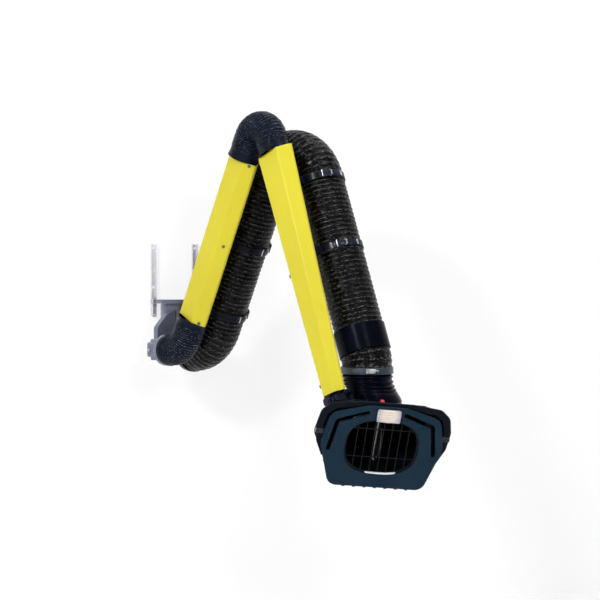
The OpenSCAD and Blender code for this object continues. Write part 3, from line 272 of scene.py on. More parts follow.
def crest_highlight_dashes(t, long, across, share):
    """Painted highlights: short pale dashes on the crests of the ribs, broken up by noise; share is how much
    is left bare.
    """
    crest = node(t, "ShaderNodeAttribute", attribute_name="crest")
    on_crest = ramp(t, crest.outputs["Fac"], [(0.62, 0.0), (1.0, 1.0)])
    dash = noise_at(t, coords(t, (long, across, 1), True, 0.12), 1.0, 3.0)
    return maths(t, "MULTIPLY", on_crest, ramp(t, dash, [(share, 0.0), (share + 0.14, 1.0)]))


def hose_material():
    """Black coated fabric, creased between the turns of its wire, with painted highlights as pale dashes on
    the wire's crests.
    """
    m, t, p = new_material("hose_fabric")
    one = ridges_at(t, coords(t, (52, 250, 1), True, 0.12))
    two = ridges_at(t, coords(t, (75, 330, 1), True, -0.16))
    weave = noise_at(t, coords(t, (900, 900, 1), True), 1.0, 2.0)
    dashes = crest_highlight_dashes(t, 85, 120, 0.42)
    black, grey, pale = (0.0006, 0.0006, 0.0008), (0.003, 0.003, 0.0035), (0.07, 0.07, 0.074)
    t.links.new(ramp(t, dashes, [(0.0, black), (0.3, grey), (1.0, pale)]), p.inputs["Base Color"])
    t.links.new(ramp(t, two, [(0.0, 0.2), (0.3, 0.34)]), p.inputs["Roughness"])
    p.inputs["Specular IOR Level"].default_value = 0.13
    bump(t, p, [(one, 1.0, 0.0034), (two, 0.9, 0.0024), (weave, 0.06, 0.0002)])
    return m


def boot_material():
    """Navy rubber with a crossed, creased texture, and painted highlights as pale dashes on the crests of its
    ribs.
    """
    m, t, p = new_material("boot_rubber")
    one = ridges_at(t, coords(t, (120, 260, 1), True, 0.3))
    two = ridges_at(t, coords(t, (120, 260, 1), True, -0.3))
    cloud = noise_at(t, coords(t, (45, 90, 1), True), 1.0, 5.0, 0.6)
    dashes = crest_highlight_dashes(t, 150, 190, 0.44)
    navy, lighter, pale = (0.0018, 0.0044, 0.0125), (0.006, 0.01, 0.022), (0.1, 0.12, 0.165)
    t.links.new(ramp(t, dashes, [(0.0, navy), (0.4, lighter), (1.0, pale)]), p.inputs["Base Color"])
    t.links.new(ramp(t, one, [(0.0, 0.14), (0.3, 0.26)]), p.inputs["Roughness"])
    p.inputs["Specular IOR Level"].default_value = 0.1
    bump(t, p, [(one, 1.0, 0.002), (two, 1.0, 0.002), (cloud, 0.3, 0.0012)])
    return m


def lens_material():
    """Moulded lens, milky, with a painted glow: its colour turns warmer round the spot in front of the bulb,
    as if the bulb lit it.
    """
    m, t, p = new_material("lamp_glass")
    # Painted glow: the spot in front of the bulb, round which the lens is coloured warmer.
    bulb = at_face(np.array([LAMP_X, LAMP_Y + 0.004, 0.0]))
    bulb_reach = 0.042
    c = t.nodes.new("ShaderNodeTexCoord")
    near = node(t, "ShaderNodeMapping", Location=tuple(-v / bulb_reach for v in bulb),
                Scale=(1 / bulb_reach,) * 3)
    t.links.new(c.outputs["Object"], near.inputs["Vector"])
    glow = node(t, "ShaderNodeTexGradient", gradient_type="SPHERICAL")
    t.links.new(near.outputs[0], glow.inputs["Vector"])
    cool, painted_bulb_glow = (0.4, 0.38, 0.45), (0.76, 0.68, 0.6)
    t.links.new(ramp(t, glow.outputs["Fac"], [(0.05, cool), (0.5, painted_bulb_glow)]), p.inputs["Base Color"])
    cloud = noise_at(t, coords(t), 60, 3.0)
    t.links.new(ramp(t, cloud, [(0.3, 0.1), (0.7, 0.22)]), p.inputs["Roughness"])
    p.inputs["Transmission Weight"].default_value = 0.12
    bump(t, p, [(noise_at(t, coords(t), 300, 2.0), 0.2, 0.0004)])
    return m


finish("galvanised", (0.7, 0.7, 0.74), (0.84, 0.84, 0.88), 0.36, metal=0.1, grain=420, patch=60,
       edge=(0.82, 0.83, 0.86))
# The pale edge colour here is a painted highlight on the casting's edges, partly wear.
finish("cast_aluminium", (0.125, 0.14, 0.205), (0.18, 0.195, 0.27), 0.18, metal=0.35, grain=900,
       grain_depth=0.0004, patch=14, edge=(0.5, 0.51, 0.58), edge_r=0.0022)
finish("bush", (0.38, 0.27, 0.1), (0.5, 0.37, 0.15), 0.35, metal=1.0)
finish("fasteners", (0.42, 0.42, 0.45), (0.6, 0.6, 0.62), 0.28, metal=0.9, grain=1200,
       edge=(0.75, 0.75, 0.76), edge_r=0.001)
finish("screw_dark", (0.06, 0.06, 0.055), (0.14, 0.14, 0.13), 0.35, metal=0.6, edge=(0.42, 0.42, 0.4),
       edge_r=0.001)
finish("arm_steel", (0.06, 0.062, 0.07), (0.09, 0.092, 0.1), 0.45, edge=(0.3, 0.3, 0.31))
finish("bulkhead_plastic", (0.006, 0.006, 0.007), (0.012, 0.012, 0.014), 0.5, specular=0.25)
finish("friction_lining", (0.04, 0.03, 0.025), (0.08, 0.06, 0.05), 0.7)
# The pale edge colour draws a painted highlight along the cover's fold ridges.
finish("cover_yellow", (0.575, 0.49, 0.024), (0.62, 0.54, 0.029), 0.36, grain=500, grain_depth=0.00008,
       patch=3.0, specular=0.22, edge=(0.74, 0.69, 0.12), edge_r=0.005, spread=0.05)
finish("flare_rubber", (0.001, 0.0016, 0.005), (0.0018, 0.003, 0.009), 0.2, grain=600, specular=0.05)
# The lighter edge colour paints glints on the strap's edges.
finish("strap", (0.0025, 0.004, 0.009), (0.005, 0.0075, 0.016), 0.22, grain=500, specular=0.08,
       edge=(0.06, 0.07, 0.1))
finish("clip_paint", (0.007, 0.011, 0.02), (0.014, 0.02, 0.034), 0.26, metal=0.1, specular=0.25,
       edge=(0.2, 0.23, 0.28), edge_r=0.001)
finish("clamp_steel", (0.022, 0.034, 0.05), (0.045, 0.06, 0.08), 0.32, metal=0.3, grain=900,
       edge=(0.2, 0.23, 0.26))
finish("navy_paint", (0.004, 0.007, 0.018), (0.007, 0.012, 0.026), 0.26, specular=0.2,
       edge=(0.05, 0.06, 0.1))
finish("hood_plastic", (0.0058, 0.0185, 0.034), (0.0085, 0.0245, 0.042), 0.36, grain=900,
       grain_depth=0.0002, patch=12, specular=0.07, edge=(0.03, 0.05, 0.07))
# Darker copy of the hood plastic, for the pan behind the face and the shell: painted shade in the hood's
# recesses.
finish("shaded_hood_black", (0.0012, 0.0018, 0.003), (0.0022, 0.003, 0.005), 0.3, specular=0.12,
       edge=(0.012, 0.018, 0.028))
# The lighter edge colour paints a highlight line along the bow and the rim.
finish("bow_paint", (0.002, 0.003, 0.006), (0.004, 0.006, 0.01), 0.2, grain=800, specular=0.06,
       edge=(0.07, 0.09, 0.14), edge_r=0.002)
# Nearly white and barely metallic, lighter than bare steel: painted light, so that the damper's axle reads
# bright inside the hood's shade.
finish("bright_steel", (0.7, 0.7, 0.74), (0.86, 0.86, 0.9), 0.3, metal=0.15, grain=1400)
finish("grille_wire", (0.003, 0.0032, 0.0035), (0.009, 0.0095, 0.01), 0.3, metal=0.1, grain=1500,
       specular=0.12)
finish("lamp_black", (0.004, 0.004, 0.005), (0.008, 0.008, 0.009), 0.4, specular=0.3)
finish("blade_aluminium", (0.02, 0.021, 0.023), (0.04, 0.041, 0.044), 0.45, metal=0.6, patch=30,
       edge=(0.2, 0.2, 0.21))
finish("lever_red", (0.52, 0.045, 0.05), (0.62, 0.065, 0.07), 0.33, specular=0.3, edge=(0.8, 0.2, 0.2))
MATERIALS["hose_fabric"] = hose_material()
MATERIALS["boot_rubber"] = boot_material()
MATERIALS["lamp_glass"] = lens_material()

# Nodes that look unlike the rest of their slot; the hood's pan gets the darker copy of the hood plastic, a
# painted shade
OWN_FINISH = {"hood_grille": "grille_wire", "hood_pan": "shaded_hood_black", "bow_clips": "clip_paint",
              "lower_cover_screws": "screw_dark", "upper_cover_screws": "screw_dark",
              "yoke_nut": "navy_paint"}

for part in frame["record"]["subparts"]:
    o = nodes[part["node"]]
    o.data.materials.clear()
    o.data.materials.append(MATERIALS[OWN_FINISH.get(part["node"], part["material_slot"])])


# Mesh helpers

def linked(name, data):
    o = bpy.data.objects.new(name, data)
    scene.collection.objects.link(o)
    return o


def add_mesh(name, points, faces, slot, smooth=True, uvs=None, material=None, crest=None):
    """Object from points and faces; crest is a number for each point that its material reads."""
    mesh = bpy.data.meshes.new(name)
    mesh.from_pydata([tuple(p) for p in points], [], faces)
    mesh.update()
    if smooth:
        mesh.polygons.foreach_set("use_smooth", [True] * len(mesh.polygons))
    if uvs is not None:
        layer = mesh.uv_layers.new(name="UVMap")
        flat = np.asarray(uvs, dtype=np.float32)
        loops = np.empty(len(mesh.loops), dtype=np.int32)
        mesh.loops.foreach_get("vertex_index", loops)
        layer.data.foreach_set("uv", flat[loops].ravel())
    if crest is not None:
        mesh.attributes.new("crest", "FLOAT", "POINT").data.foreach_set("value", crest)
    mesh.materials.append(material or MATERIALS[slot])
    o = linked(name, mesh)
    return o


def round_angles(n):
    return np.arange(n) * 2 * math.pi / n


def ring_faces(m, n):
    """Faces between m rings of n points each."""
    return [(j * n + i, j * n + (i + 1) % n, (j + 1) * n + (i + 1) % n, (j + 1) * n + i)
            for j in range(m - 1) for i in range(n)]


def bar_faces(m, n):
    """Faces between the rings and on both ends."""
    return ring_faces(m, n) + [tuple(range(n - 1, -1, -1)), tuple(range((m - 1) * n, m * n))]


def tube_piece(name, outer, inner, slot, lengths, crest=None, material=None):
    """Closed tube: outer rings forwards, then inner rings backwards, joined at both ends."""
    n = outer.shape[1]
    rings = np.concatenate([outer, inner[::-1]])
    m = len(rings)
    faces = ring_faces(m, n)
    last = (m - 1) * n
    faces += [(last + i, last + (i + 1) % n, (i + 1) % n, i) for i in range(n)]
    s = np.concatenate([lengths, np.linspace(lengths[-1], lengths[0], len(inner))])
    radius = np.linalg.norm(outer[0] - outer[0].mean(0), axis=1).mean()
    u = np.tile(np.minimum(np.arange(n), n - np.arange(n)) * 2 * math.pi * radius / n, (m, 1))
    uvs = np.stack([u, np.tile(s[:, None], (1, n))], axis=-1).reshape(-1, 2)
    if crest is not None:
        crest = np.concatenate([crest.ravel(), np.zeros(len(inner) * n)])
    return add_mesh(name, rings.reshape(-1, 3), faces, slot, uvs=uvs, crest=crest, material=material)


# Runs of tube in the plane of the arm: start, first heading, last heading, bend radius, lead

def bend_len(run):
    return abs(run[2] - run[1]) * math.pi / 180 * run[3]


def pose_at(run, s):
    """Point and heading at a distance along a run."""
    start, first, end, radius, lead = run
    part = min(1.0, max(0.0, (s - lead) / bend_len(run)))
    heading = first + part * (end - first)
    sign = 1 if end > first else -1
    tail = max(0.0, s - lead - bend_len(run))
    swept = sign * radius * (left_of(first) - left_of(heading))
    return start + min(s, lead) * along(first) + swept + tail * along(heading), heading


def meeting(low, up):
    """Where a line beside the lower arm meets one beside the upper arm: the distance along each."""
    c, s = along(RISE + FALL)
    through = np.array([LOWER + up * s, up * c - ELBOW_IN_LOWER])
    back = (through[1] - low) / s
    return through[0] + back * c, back


def half_tan(a):
    return math.tan(math.radians(a / 2))


def lower_line(x, z):
    return SHOULDER + x * along(RISE) + z * left_of(RISE)


def upper_line(x, z):
    return ELBOW + x * along(-FALL) + z * left_of(-FALL)


base_corner = -HOSE_OUT_LOW / math.tan(math.radians(RISE))
base_tangent = BASE_BEND * half_tan(RISE)
base_lead = lower_line(base_corner, HOSE_OUT_LOW)[0] - base_tangent - HOSE_FROM
BASE_RUN = (np.array([HOSE_FROM, OUTLET_Z]), 0.0, RISE, BASE_BEND, base_lead)
hose_low_from = base_corner + base_tangent
top_corner = meeting(HOSE_OUT_LOW, HOSE_OUT_UP)
top_tangent = TOP_BEND * half_tan(RISE + FALL)
hose_low_to = top_corner[0] - top_tangent
hose_up_from = top_corner[1] + top_tangent
TOP_RUN = (lower_line(hose_low_to, HOSE_OUT_LOW), RISE, -FALL, TOP_BEND, 0.0)
NECK_RUN = (upper_line(CUFF_END, HOSE_OUT_UP), -FALL, -90.0, NECK_BEND, 0.0)
NECK_LEN = bend_len(NECK_RUN) + NECK_TAIL
ring_to = REACH - RING_BACK
shoulder_tangent = SHOULDER_BEND * half_tan(RISE)
shoulder_lead = REACH - ring_to - shoulder_tangent
SHOULDER_RUN = (np.array([ring_to, OUTLET_Z]), 0.0, RISE, SHOULDER_BEND, shoulder_lead)
SHOULDER_LEN = shoulder_lead + bend_len(SHOULDER_RUN) + LOW_COVER_FROM - shoulder_tangent
boot_corner = meeting(0.0, ELBOW_IN_UPPER)
boot_tangent = ELBOW_BEND * half_tan(RISE + FALL)
elbow_lead = boot_corner[0] - boot_tangent - LOW_COVER_TO
ELBOW_RUN = (lower_line(LOW_COVER_TO, 0.0), RISE, -FALL, ELBOW_BEND, elbow_lead)
ELBOW_LEN = elbow_lead + bend_len(ELBOW_RUN) + UP_COVER_FROM - boot_corner[1] - boot_tangent


def rings_along(poses, radii, side=0.0):
    """Rings square to each pose, with a radius for each ring and angle, in the part's frame."""
    n = radii.shape[1]
    angle = round_angles(n)
    out = np.empty((len(poses), n, 3))
    for j, (middle, heading) in enumerate(poses):
        across = left_of(heading)
        out[j, :, 0] = middle[0] + radii[j] * np.cos(angle) * across[0]
        out[j, :, 2] = middle[1] + radii[j] * np.cos(angle) * across[1]
        out[j, :, 1] = side - radii[j] * np.sin(angle)
    return at_swivel(out)


def bore_rings(pose_of, length, steps, sides, radius, side=0.0):
    """Plain rings for the inside of a tube."""
    return rings_along([pose_of(d) for d in np.linspace(0, length, steps + 1)],
                       np.full((steps + 1, sides), radius), side)


def field(s, angle, radius, reach, step, seed):
    """Smooth noise over a tube's surface: reach round it and step along it, in metres."""
    out = np.empty((len(s), len(angle)))
    across = [(radius * math.cos(a) / reach, radius * math.sin(a) / reach) for a in angle]
    for j, d in enumerate(s):
        for i, (x, y) in enumerate(across):
            out[j, i] = noise.noise(Vector((x + seed, y - seed, d / step)))
    return out


# The hose: a helical wire under coated fabric that creases between the turns

HOSE_SIDES, RINGS_PER_TURN = 112, 9
# DASH_DRIFT and DRIFTS make the painted highlight dashes waver along the wire's crests.
FOLD_DEPTH, CREASE_DEPTH, DASH_DRIFT = 0.0032, 0.0015, 0.2
FOLDS = dict(reach=0.028, step=0.0075, seed=3.0)
CREASES = dict(reach=0.011, step=0.0048, seed=11.0)
DRIFTS = dict(reach=0.018, step=0.03, seed=21.0)
hose_angle = round_angles(HOSE_SIDES)


def hose_piece(name, pose_of, length, first):
    """Stretch of hose; first is the length of hose before it, so that its helix goes on."""
    count = int(round(length / RIB_PITCH * RINGS_PER_TURN))
    s = np.linspace(0.0, length, count + 1)
    total = s + first
    turns = total[:, None] / RIB_PITCH + hose_angle[None, :] / (2 * math.pi)
    place = turns % 1.0
    wire = np.abs(np.cos(math.pi * place)) ** 1.4
    slack = np.sin(math.pi * place) ** 2
    radii = HOSE_R - HOSE_RIB * (1.0 - wire)
    radii = radii + slack * FOLD_DEPTH * field(total, hose_angle, HOSE_R, **FOLDS)
    radii = radii + (0.25 + slack) * CREASE_DEPTH * field(total, hose_angle, HOSE_R, **CREASES)
    outer = rings_along([pose_of(d) for d in s], radii)
    steps = max(2, int(round(length / RIB_PITCH)))
    inner = bore_rings(pose_of, length, steps, HOSE_SIDES, HOSE_BORE)
    # Crest of the wavering wire, where the material paints its highlight dashes.
    wavy = turns + DASH_DRIFT * field(total, hose_angle, HOSE_R, **DRIFTS)
    return tube_piece(name, outer, inner, "hose_fabric", total, np.abs(np.cos(math.pi * wavy)) ** 3)


base_len = base_lead + bend_len(BASE_RUN)
low_len = hose_low_to - hose_low_from
top_len = bend_len(TOP_RUN)
up_len = CUFF_END - hose_up_from
s0 = 0.0
hose_base = hose_piece("hose_base", lambda d: pose_at(BASE_RUN, d), base_len, s0)
s0 += base_len
hose_low = hose_piece("hose_low", lambda d: (lower_line(hose_low_from + d, HOSE_OUT_LOW), RISE), low_len, s0)
s0 += low_len
hose_top = hose_piece("hose_top", lambda d: pose_at(TOP_RUN, d), top_len, s0)
s0 += top_len
hose_up = hose_piece("hose_up", lambda d: (upper_line(hose_up_from + d, HOSE_OUT_UP), -FALL), up_len, s0)
s0 += up_len
hose_end = hose_piece("hose_end", lambda d: pose_at(NECK_RUN, d), NECK_LEN, s0)


# The boots: ribbed rubber sleeves over the shoulder and the elbow

BOOT_SIDES, RINGS_PER_RIB, BOOT_PITCH = 88, 6, 0.0075
BOOT_LIP, BOOT_SINK, BORE_STEP = 0.004, 0.002, 0.012
RIB_CREASE, BAND_CREASE = 0.0012, 0.0006
RIB_CREASES = dict(reach=0.012, step=0.006, seed=5.0)
BAND_CREASES = dict(reach=0.04, step=0.02, seed=7.0)
SHOULDER_BANDS, ELBOW_BANDS = (0.012, 0.022), (0.034, 0.034)


def boot_piece(name, run, length, bands):
    """Ribbed rubber sleeve with a smooth band at each end."""
    angle = round_angles(BOOT_SIDES)
    pitch = length / round(length / BOOT_PITCH)
    count = int(round(length / pitch * RINGS_PER_RIB))
    s = np.linspace(0.0, length, count + 1)
    head = np.clip(s / bands[0], 0, 1)
    foot = np.clip((length - s) / bands[1], 0, 1)
    ribbed = np.minimum(np.clip((head - 0.75) * 4, 0, 1), np.clip((foot - 0.75) * 4, 0, 1))[:, None]
    flare = (BOOT_LIP * (1 - head) ** 2 + BOOT_LIP * (1 - foot) ** 2)[:, None]
    wave = 0.5 + 0.5 * np.cos(2 * math.pi * (s / pitch))[:, None]
    radii = BOOT_R - BOOT_SINK * (1 - ribbed) + flare - ribbed * BOOT_RIB * 0.75 * wave
    radii = radii + ribbed * RIB_CREASE * field(s, angle, BOOT_R, **RIB_CREASES)
    radii = radii + (1 - ribbed) * BAND_CREASE * field(s, angle, BOOT_R, **BAND_CREASES)
    outer = rings_along([pose_at(run, d) for d in s], radii, ARM_SIDE)
    steps = max(4, int(length / BORE_STEP))
    inner = bore_rings(lambda d: pose_at(run, d), length, steps, BOOT_SIDES,
                       BOOT_R - BOOT_RIB - BOOT_WALL, ARM_SIDE)
    # Crests of the ribs, where the material paints its highlight dashes.
    return tube_piece(name, outer, inner, "boot_rubber", s, ribbed * (1 - wave) * np.ones(BOOT_SIDES))


shoulder_sleeve = boot_piece("shoulder_sleeve", SHOULDER_RUN, SHOULDER_LEN, SHOULDER_BANDS)
elbow_sleeve = boot_piece("elbow_sleeve", ELBOW_RUN, ELBOW_LEN, ELBOW_BANDS)


# The flare between the hose and the hood

FLARE_RINGS, FLARE_STEPS = 97, 8
COARSE_RIBS, COARSE_DEPTH, FINE_RIBS, FINE_DEPTH = 8, 0.005, 16, 0.0028
FLARE_SINK, FLARE_CREASE, FLARE_WALL = 0.004, 0.0012, 0.001
FLARE_OUT, FLARE_IN = 0.048, 0.014
FLARE_CREASES = dict(reach=0.025, step=0.006, seed=2.0)
neck_pose = pose_at(NECK_RUN, NECK_LEN)
yoke_up = left_of(-LEAN)
collar_low = TILT + COLLAR_AHEAD * along(-LEAN) - COLLAR_BELOW * yoke_up
flare_to = collar_low + YOKE_H * yoke_up


def flare_pose(k):
    hose, yoke = neck_pose[0], flare_to
    return bezier(hose, hose - np.array([0, FLARE_OUT]), yoke + FLARE_IN * yoke_up, yoke, k), -90 - k * LEAN


def flare_piece():
    """Rubber flare, with coarse ribs near the hose and fine ones near the hood."""
    k = np.linspace(0, 1, FLARE_RINGS)
    length = float(np.linalg.norm(flare_to - neck_pose[0]))
    coarse = 0.5 - 0.5 * np.cos(2 * math.pi * k * COARSE_RIBS)
    fine = 0.5 - 0.5 * np.cos(2 * math.pi * k * FINE_RIBS)
    soft = np.clip((k - 0.35) / 0.3, 0, 1)
    rib = COARSE_DEPTH * coarse * (1 - soft) + FINE_DEPTH * fine * soft
    body = HOSE_R - FLARE_SINK + (YOKE_R - HOSE_R) * k ** 2
    crease = field(k * length, hose_angle, HOSE_R, **FLARE_CREASES)
    radii = (body + rib)[:, None] + FLARE_CREASE * (1 - soft)[:, None] * crease
    outer = rings_along([flare_pose(x) for x in k], radii)
    inner = bore_rings(flare_pose, 1, FLARE_STEPS, HOSE_SIDES, HOSE_BORE - FLARE_WALL)
    return tube_piece("hood_flare", outer, inner, "flare_rubber", k * length)


hood_flare = flare_piece()


def plane_point(pose, side=0.0):
    return tuple(at_swivel(np.array([pose[0][0], side, pose[0][1]])))


for piece, old in ((hose_base, "hose_base_bend"), (hose_low, "hose_lower"), (hose_top, "hose_elbow_bend"),
                   (hose_up, "hose_upper"), (hose_end, "hose_neck"), (shoulder_sleeve, "shoulder_boot"),
                   (elbow_sleeve, "elbow_boot"), (hood_flare, "hood_bellows")):
    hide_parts(old)
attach(hose_low, "lower_arm")
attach(hose_up, "upper_arm")
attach(hose_end, "upper_arm")
plane_point(pose_at(BASE_RUN, base_lead))
plane_point(pose_at(BASE_RUN, base_len))
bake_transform(hose_base)
plane_point(pose_at(TOP_RUN, 0))
plane_point(pose_at(TOP_RUN, top_len))
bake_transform(hose_top)
plane_point(pose_at(SHOULDER_RUN, 0.01), ARM_SIDE)
plane_point(pose_at(SHOULDER_RUN, SHOULDER_LEN - 0.02), ARM_SIDE)
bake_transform(shoulder_sleeve)
plane_point(pose_at(ELBOW_RUN, 0.02), ARM_SIDE)
plane_point(pose_at(ELBOW_RUN, ELBOW_LEN - 0.02), ARM_SIDE)
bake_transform(elbow_sleeve)
plane_point(flare_pose(0.0))
plane_point(flare_pose(1.0))
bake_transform(hood_flare)


# The hood: shell, face with rounded edges, and bow

SHELL_SIDES, SHELL_STEPS, SHELL_LEN = 96, 30, 0.2
shell_angles = [2 * math.pi * (i + 0.5) / SHELL_SIDES for i in range(SHELL_SIDES)]


def mouth_reach(turned, grow):
    c, s = abs(math.cos(turned)) / (MOUTH_W / 2 + grow), abs(math.sin(turned)) / (MOUTH_H / 2 + grow)
    return (c ** MOUTH_POWER + s ** MOUTH_POWER) ** (-1 / MOUTH_POWER)


def mouth_outline(grow):
    return [(mouth_reach(a, grow) * math.cos(a), mouth_reach(a, grow) * math.sin(a)) for a in shell_angles]


def shell_point(turned, k, inset):
    """Point of the shell in the hood's frame: k goes from the throat to the mouth."""
    r = THROAT_R - inset
    reach = mouth_reach(turned, HOOD_WALL - inset)
    rim = np.array([FACE_AHEAD, -FACE_LOW]) - FACE_T * FACE_OUT + reach * math.sin(turned) * FACE_UP
    a = np.array([r * math.sin(turned), r * math.cos(turned), SHELL_TOP])
    d = np.array([rim[0], reach * math.cos(turned), rim[1]])
    b = a - np.array([0, 0, SHELL_DROP - (SHELL_BELLY - inset) * math.sin(turned)])
    c = d - SHELL_LEAD * np.array([FACE_OUT[0], 0, FACE_OUT[1]])
    return bezier(a, b, c, d, k)


def shell_piece():
    outer, inner = (np.array([[shell_point(a, k / SHELL_STEPS, inset) for a in shell_angles]
                              for k in range(SHELL_STEPS + 1)]) for inset in (0.0, HOOD_WALL))
    lengths = np.linspace(0, SHELL_LEN, SHELL_STEPS + 1)
    # The shell takes the darker copy of the hood plastic: painted shade inside the hood.
    return tube_piece("hood_scoop", at_hood(outer), at_hood(inner), "hood_plastic", lengths,
                      material=MATERIALS["shaded_hood_black"])


def rounded(points, radii, steps):
    """Closed outline with an arc at each corner."""
    out = []
    count = len(points)
    for i in range(count):
        a, b, c = (np.array(points[(i + k) % count], float) for k in (-1, 0, 1))
        u, v = unit(a - b), unit(c - b)
        half = math.acos(max(-1, min(1, float(u @ v)))) / 2
        r = radii[i]
        middle = b + unit(u + v) * r / math.sin(half)
        p, q = b + u * r / math.tan(half) - middle, b + v * r / math.tan(half) - middle
        for k in range(steps + 1):
            w = (1 - k / steps) * p + k / steps * q
            out.append(tuple(middle + r * w / np.linalg.norm(w)))
    return out


def mirrored(half):
    return half + [(-x, y) for x, y in reversed(half)]


def open_arcs(points, radius, steps=10):
    """Open line with an arc at each corner between its ends."""
    arcs = rounded(points, [radius] * len(points), steps)
    return [points[0]] + arcs[steps + 1:-(steps + 1)] + [points[-1]]


FACE_HALF = [(0.15, -0.139), (0.194, 0.005), (0.174, 0.108), (0.06, 0.14)]
FACE_CORNERS = [0.034, 0.07, 0.044, 0.08]
FACE_ROUND = 0.0022
SLOT_LINE = [np.array(p) for p in ((0.054, 0.117), (0.15, 0.082), (0.168, -0.021))]
SLOT_W = 0.013
NOTCH_FROM, NOTCH_CLEAR, NOTCH_FOOT, NOTCH_CORNER, NOTCH_STEPS = 0.08, 0.002, 0.001, 0.008, 5


def slot_outline():
    """Bent grip slot with round ends, on the right of the face."""
    p, w = SLOT_LINE, SLOT_W
    one, two = unit(p[1] - p[0]), unit(p[2] - p[1])
    a, b = np.array([one[1], -one[0]]) * w / 2, np.array([two[1], -two[0]]) * w / 2
    bend = unit(a + b) * w / 2 / math.cos(math.acos(float(one @ two)) / 2)
    end = w * 0.48
    return rounded([p[0] - a, p[1] - bend, p[2] - b, p[2] + b, p[1] + bend, p[0] + a],
                   [end, w * 1.2, end, end, w * 0.2, end], 6)


def mouth_with_lamp():
    """Mouth of the face with the notch that the lamp stands in."""
    lo, hi = LAMP_X - LAMP_W / 2 - LAMP_GAP, LAMP_X + LAMP_W / 2 + LAMP_GAP
    top = LAMP_Y + LAMP_H / 2 + LAMP_GAP
    corner = NOTCH_STEPS + 1
    notch = rounded([(hi, NOTCH_FROM), (hi, top), (lo, top), (lo, NOTCH_FROM)],
                    [NOTCH_FOOT, NOTCH_CORNER, NOTCH_CORNER, NOTCH_FOOT], NOTCH_STEPS)[corner:3 * corner]
    kept = [p for p in mouth_outline(-MOUTH_LIP)
            if not (lo - NOTCH_CLEAR < p[0] < hi + NOTCH_CLEAR and p[1] > NOTCH_FROM)]
    cut = next(i for i, p in enumerate(kept) if p[1] > 0 and p[0] < lo)
    edge = max(p[1] for p in kept)
    return kept[:cut] + [(hi, edge)] + notch + [(lo, edge)] + kept[cut:]


def plate_piece(name, outlines, depth, round_r, place, slot):
    """Plate from closed outlines, the first of them outside, with all edges rounded."""
    curve = bpy.data.curves.new(name, "CURVE")
    curve.dimensions = "2D"
    curve.fill_mode = "BOTH"
    curve.extrude = depth / 2 - round_r
    curve.bevel_depth = round_r
    curve.bevel_resolution = 4
    curve.offset = -round_r
    for outline in outlines:
        s = curve.splines.new("POLY")
        s.points.add(len(outline) - 1)
        for point, (x, y) in zip(s.points, outline):
            point.co = (x, y, 0, 1)
        s.use_cyclic_u = True
    made = linked(name + "_curve", curve)
    bpy.context.view_layer.update()
    mesh = bpy.data.meshes.new_from_object(made.evaluated_get(bpy.context.evaluated_depsgraph_get()))
    bpy.data.objects.remove(made)
    flat = np.empty(len(mesh.vertices) * 3)
    mesh.vertices.foreach_get("co", flat)
    mesh.vertices.foreach_set("co", place(flat.reshape(-1, 3)).ravel())
    mesh.name = name
    mesh.materials.clear()
    mesh.materials.append(MATERIALS[slot])
    mesh.polygons.foreach_set("use_smooth", [True] * len(mesh.polygons))
    mesh.update()
    mesh.set_sharp_from_angle(angle=math.radians(32))
    o = linked(name, mesh)
    return o


face_outline = rounded(mirrored(FACE_HALF), FACE_CORNERS + FACE_CORNERS[::-1], 10)
slot_right = slot_outline()
slot_left = [(-x, y) for x, y in reversed(slot_right)]
face_plate = plate_piece(
    "face_plate", [face_outline, mouth_with_lamp(), slot_right, slot_left], FACE_T, FACE_ROUND,
    lambda p: at_face(p - np.array([0, 0, FACE_T / 2])), "hood_plastic")
hood_scoop = shell_piece()


def swept(name, path, radii, slot, sides):
    """Round bar along a list of points, with one radius or one for each point."""
    m = len(path)
    radii = np.broadcast_to(radii, m)
    rings = []
    side = None
    for i in range(m):
        t = unit(path[min(i + 1, m - 1)] - path[max(i - 1, 0)])
        if side is None:
            side = np.cross(t, [0.3, 0.2, 0.93])
        side = unit(side - t * (side @ t))
        other = np.cross(t, side)
        rings.append([path[i] + radii[i] * (math.cos(a) * side + math.sin(a) * other)
                      for a in round_angles(sides)])
    return add_mesh(name, np.array(rings).reshape(-1, 3), bar_faces(m, sides), slot)


BOW_HALF = [(0.164, -0.062), (0.206, 0.028), (0.183, 0.112), (0.12, 0.13)]
BOW_CORNER = 0.034
POST_X, POST_Y = 0.167, -0.057
POST_DEPTHS = [-BOW_BACK, -0.026, -0.012, -0.0095, -0.008]
POST_RADII = [0.006, 0.006, 0.006, 0.008, 0.009]

bow_line = open_arcs(mirrored(BOW_HALF), BOW_CORNER)
bow = swept("grip_bow", at_face(np.array([(x, y, -BOW_BACK) for x, y in bow_line])), BOW_R, "bow_paint", 24)
posts = []
for name, side in (("bow_post_l", -1), ("bow_post_r", 1)):
    foot = np.array([(side * POST_X, POST_Y, z) for z in POST_DEPTHS])
    posts.append(swept(name, at_face(foot), POST_RADII, "bow_paint", 18))
for piece, old in ((face_plate, "hood_face"), (hood_scoop, "hood_shell"), (bow, "hood_bow")):
    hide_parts(old)
for piece in [face_plate, hood_scoop, bow] + posts:
    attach(piece, "hood")


# Small parts: pieces of mesh in a local frame, joined and placed together

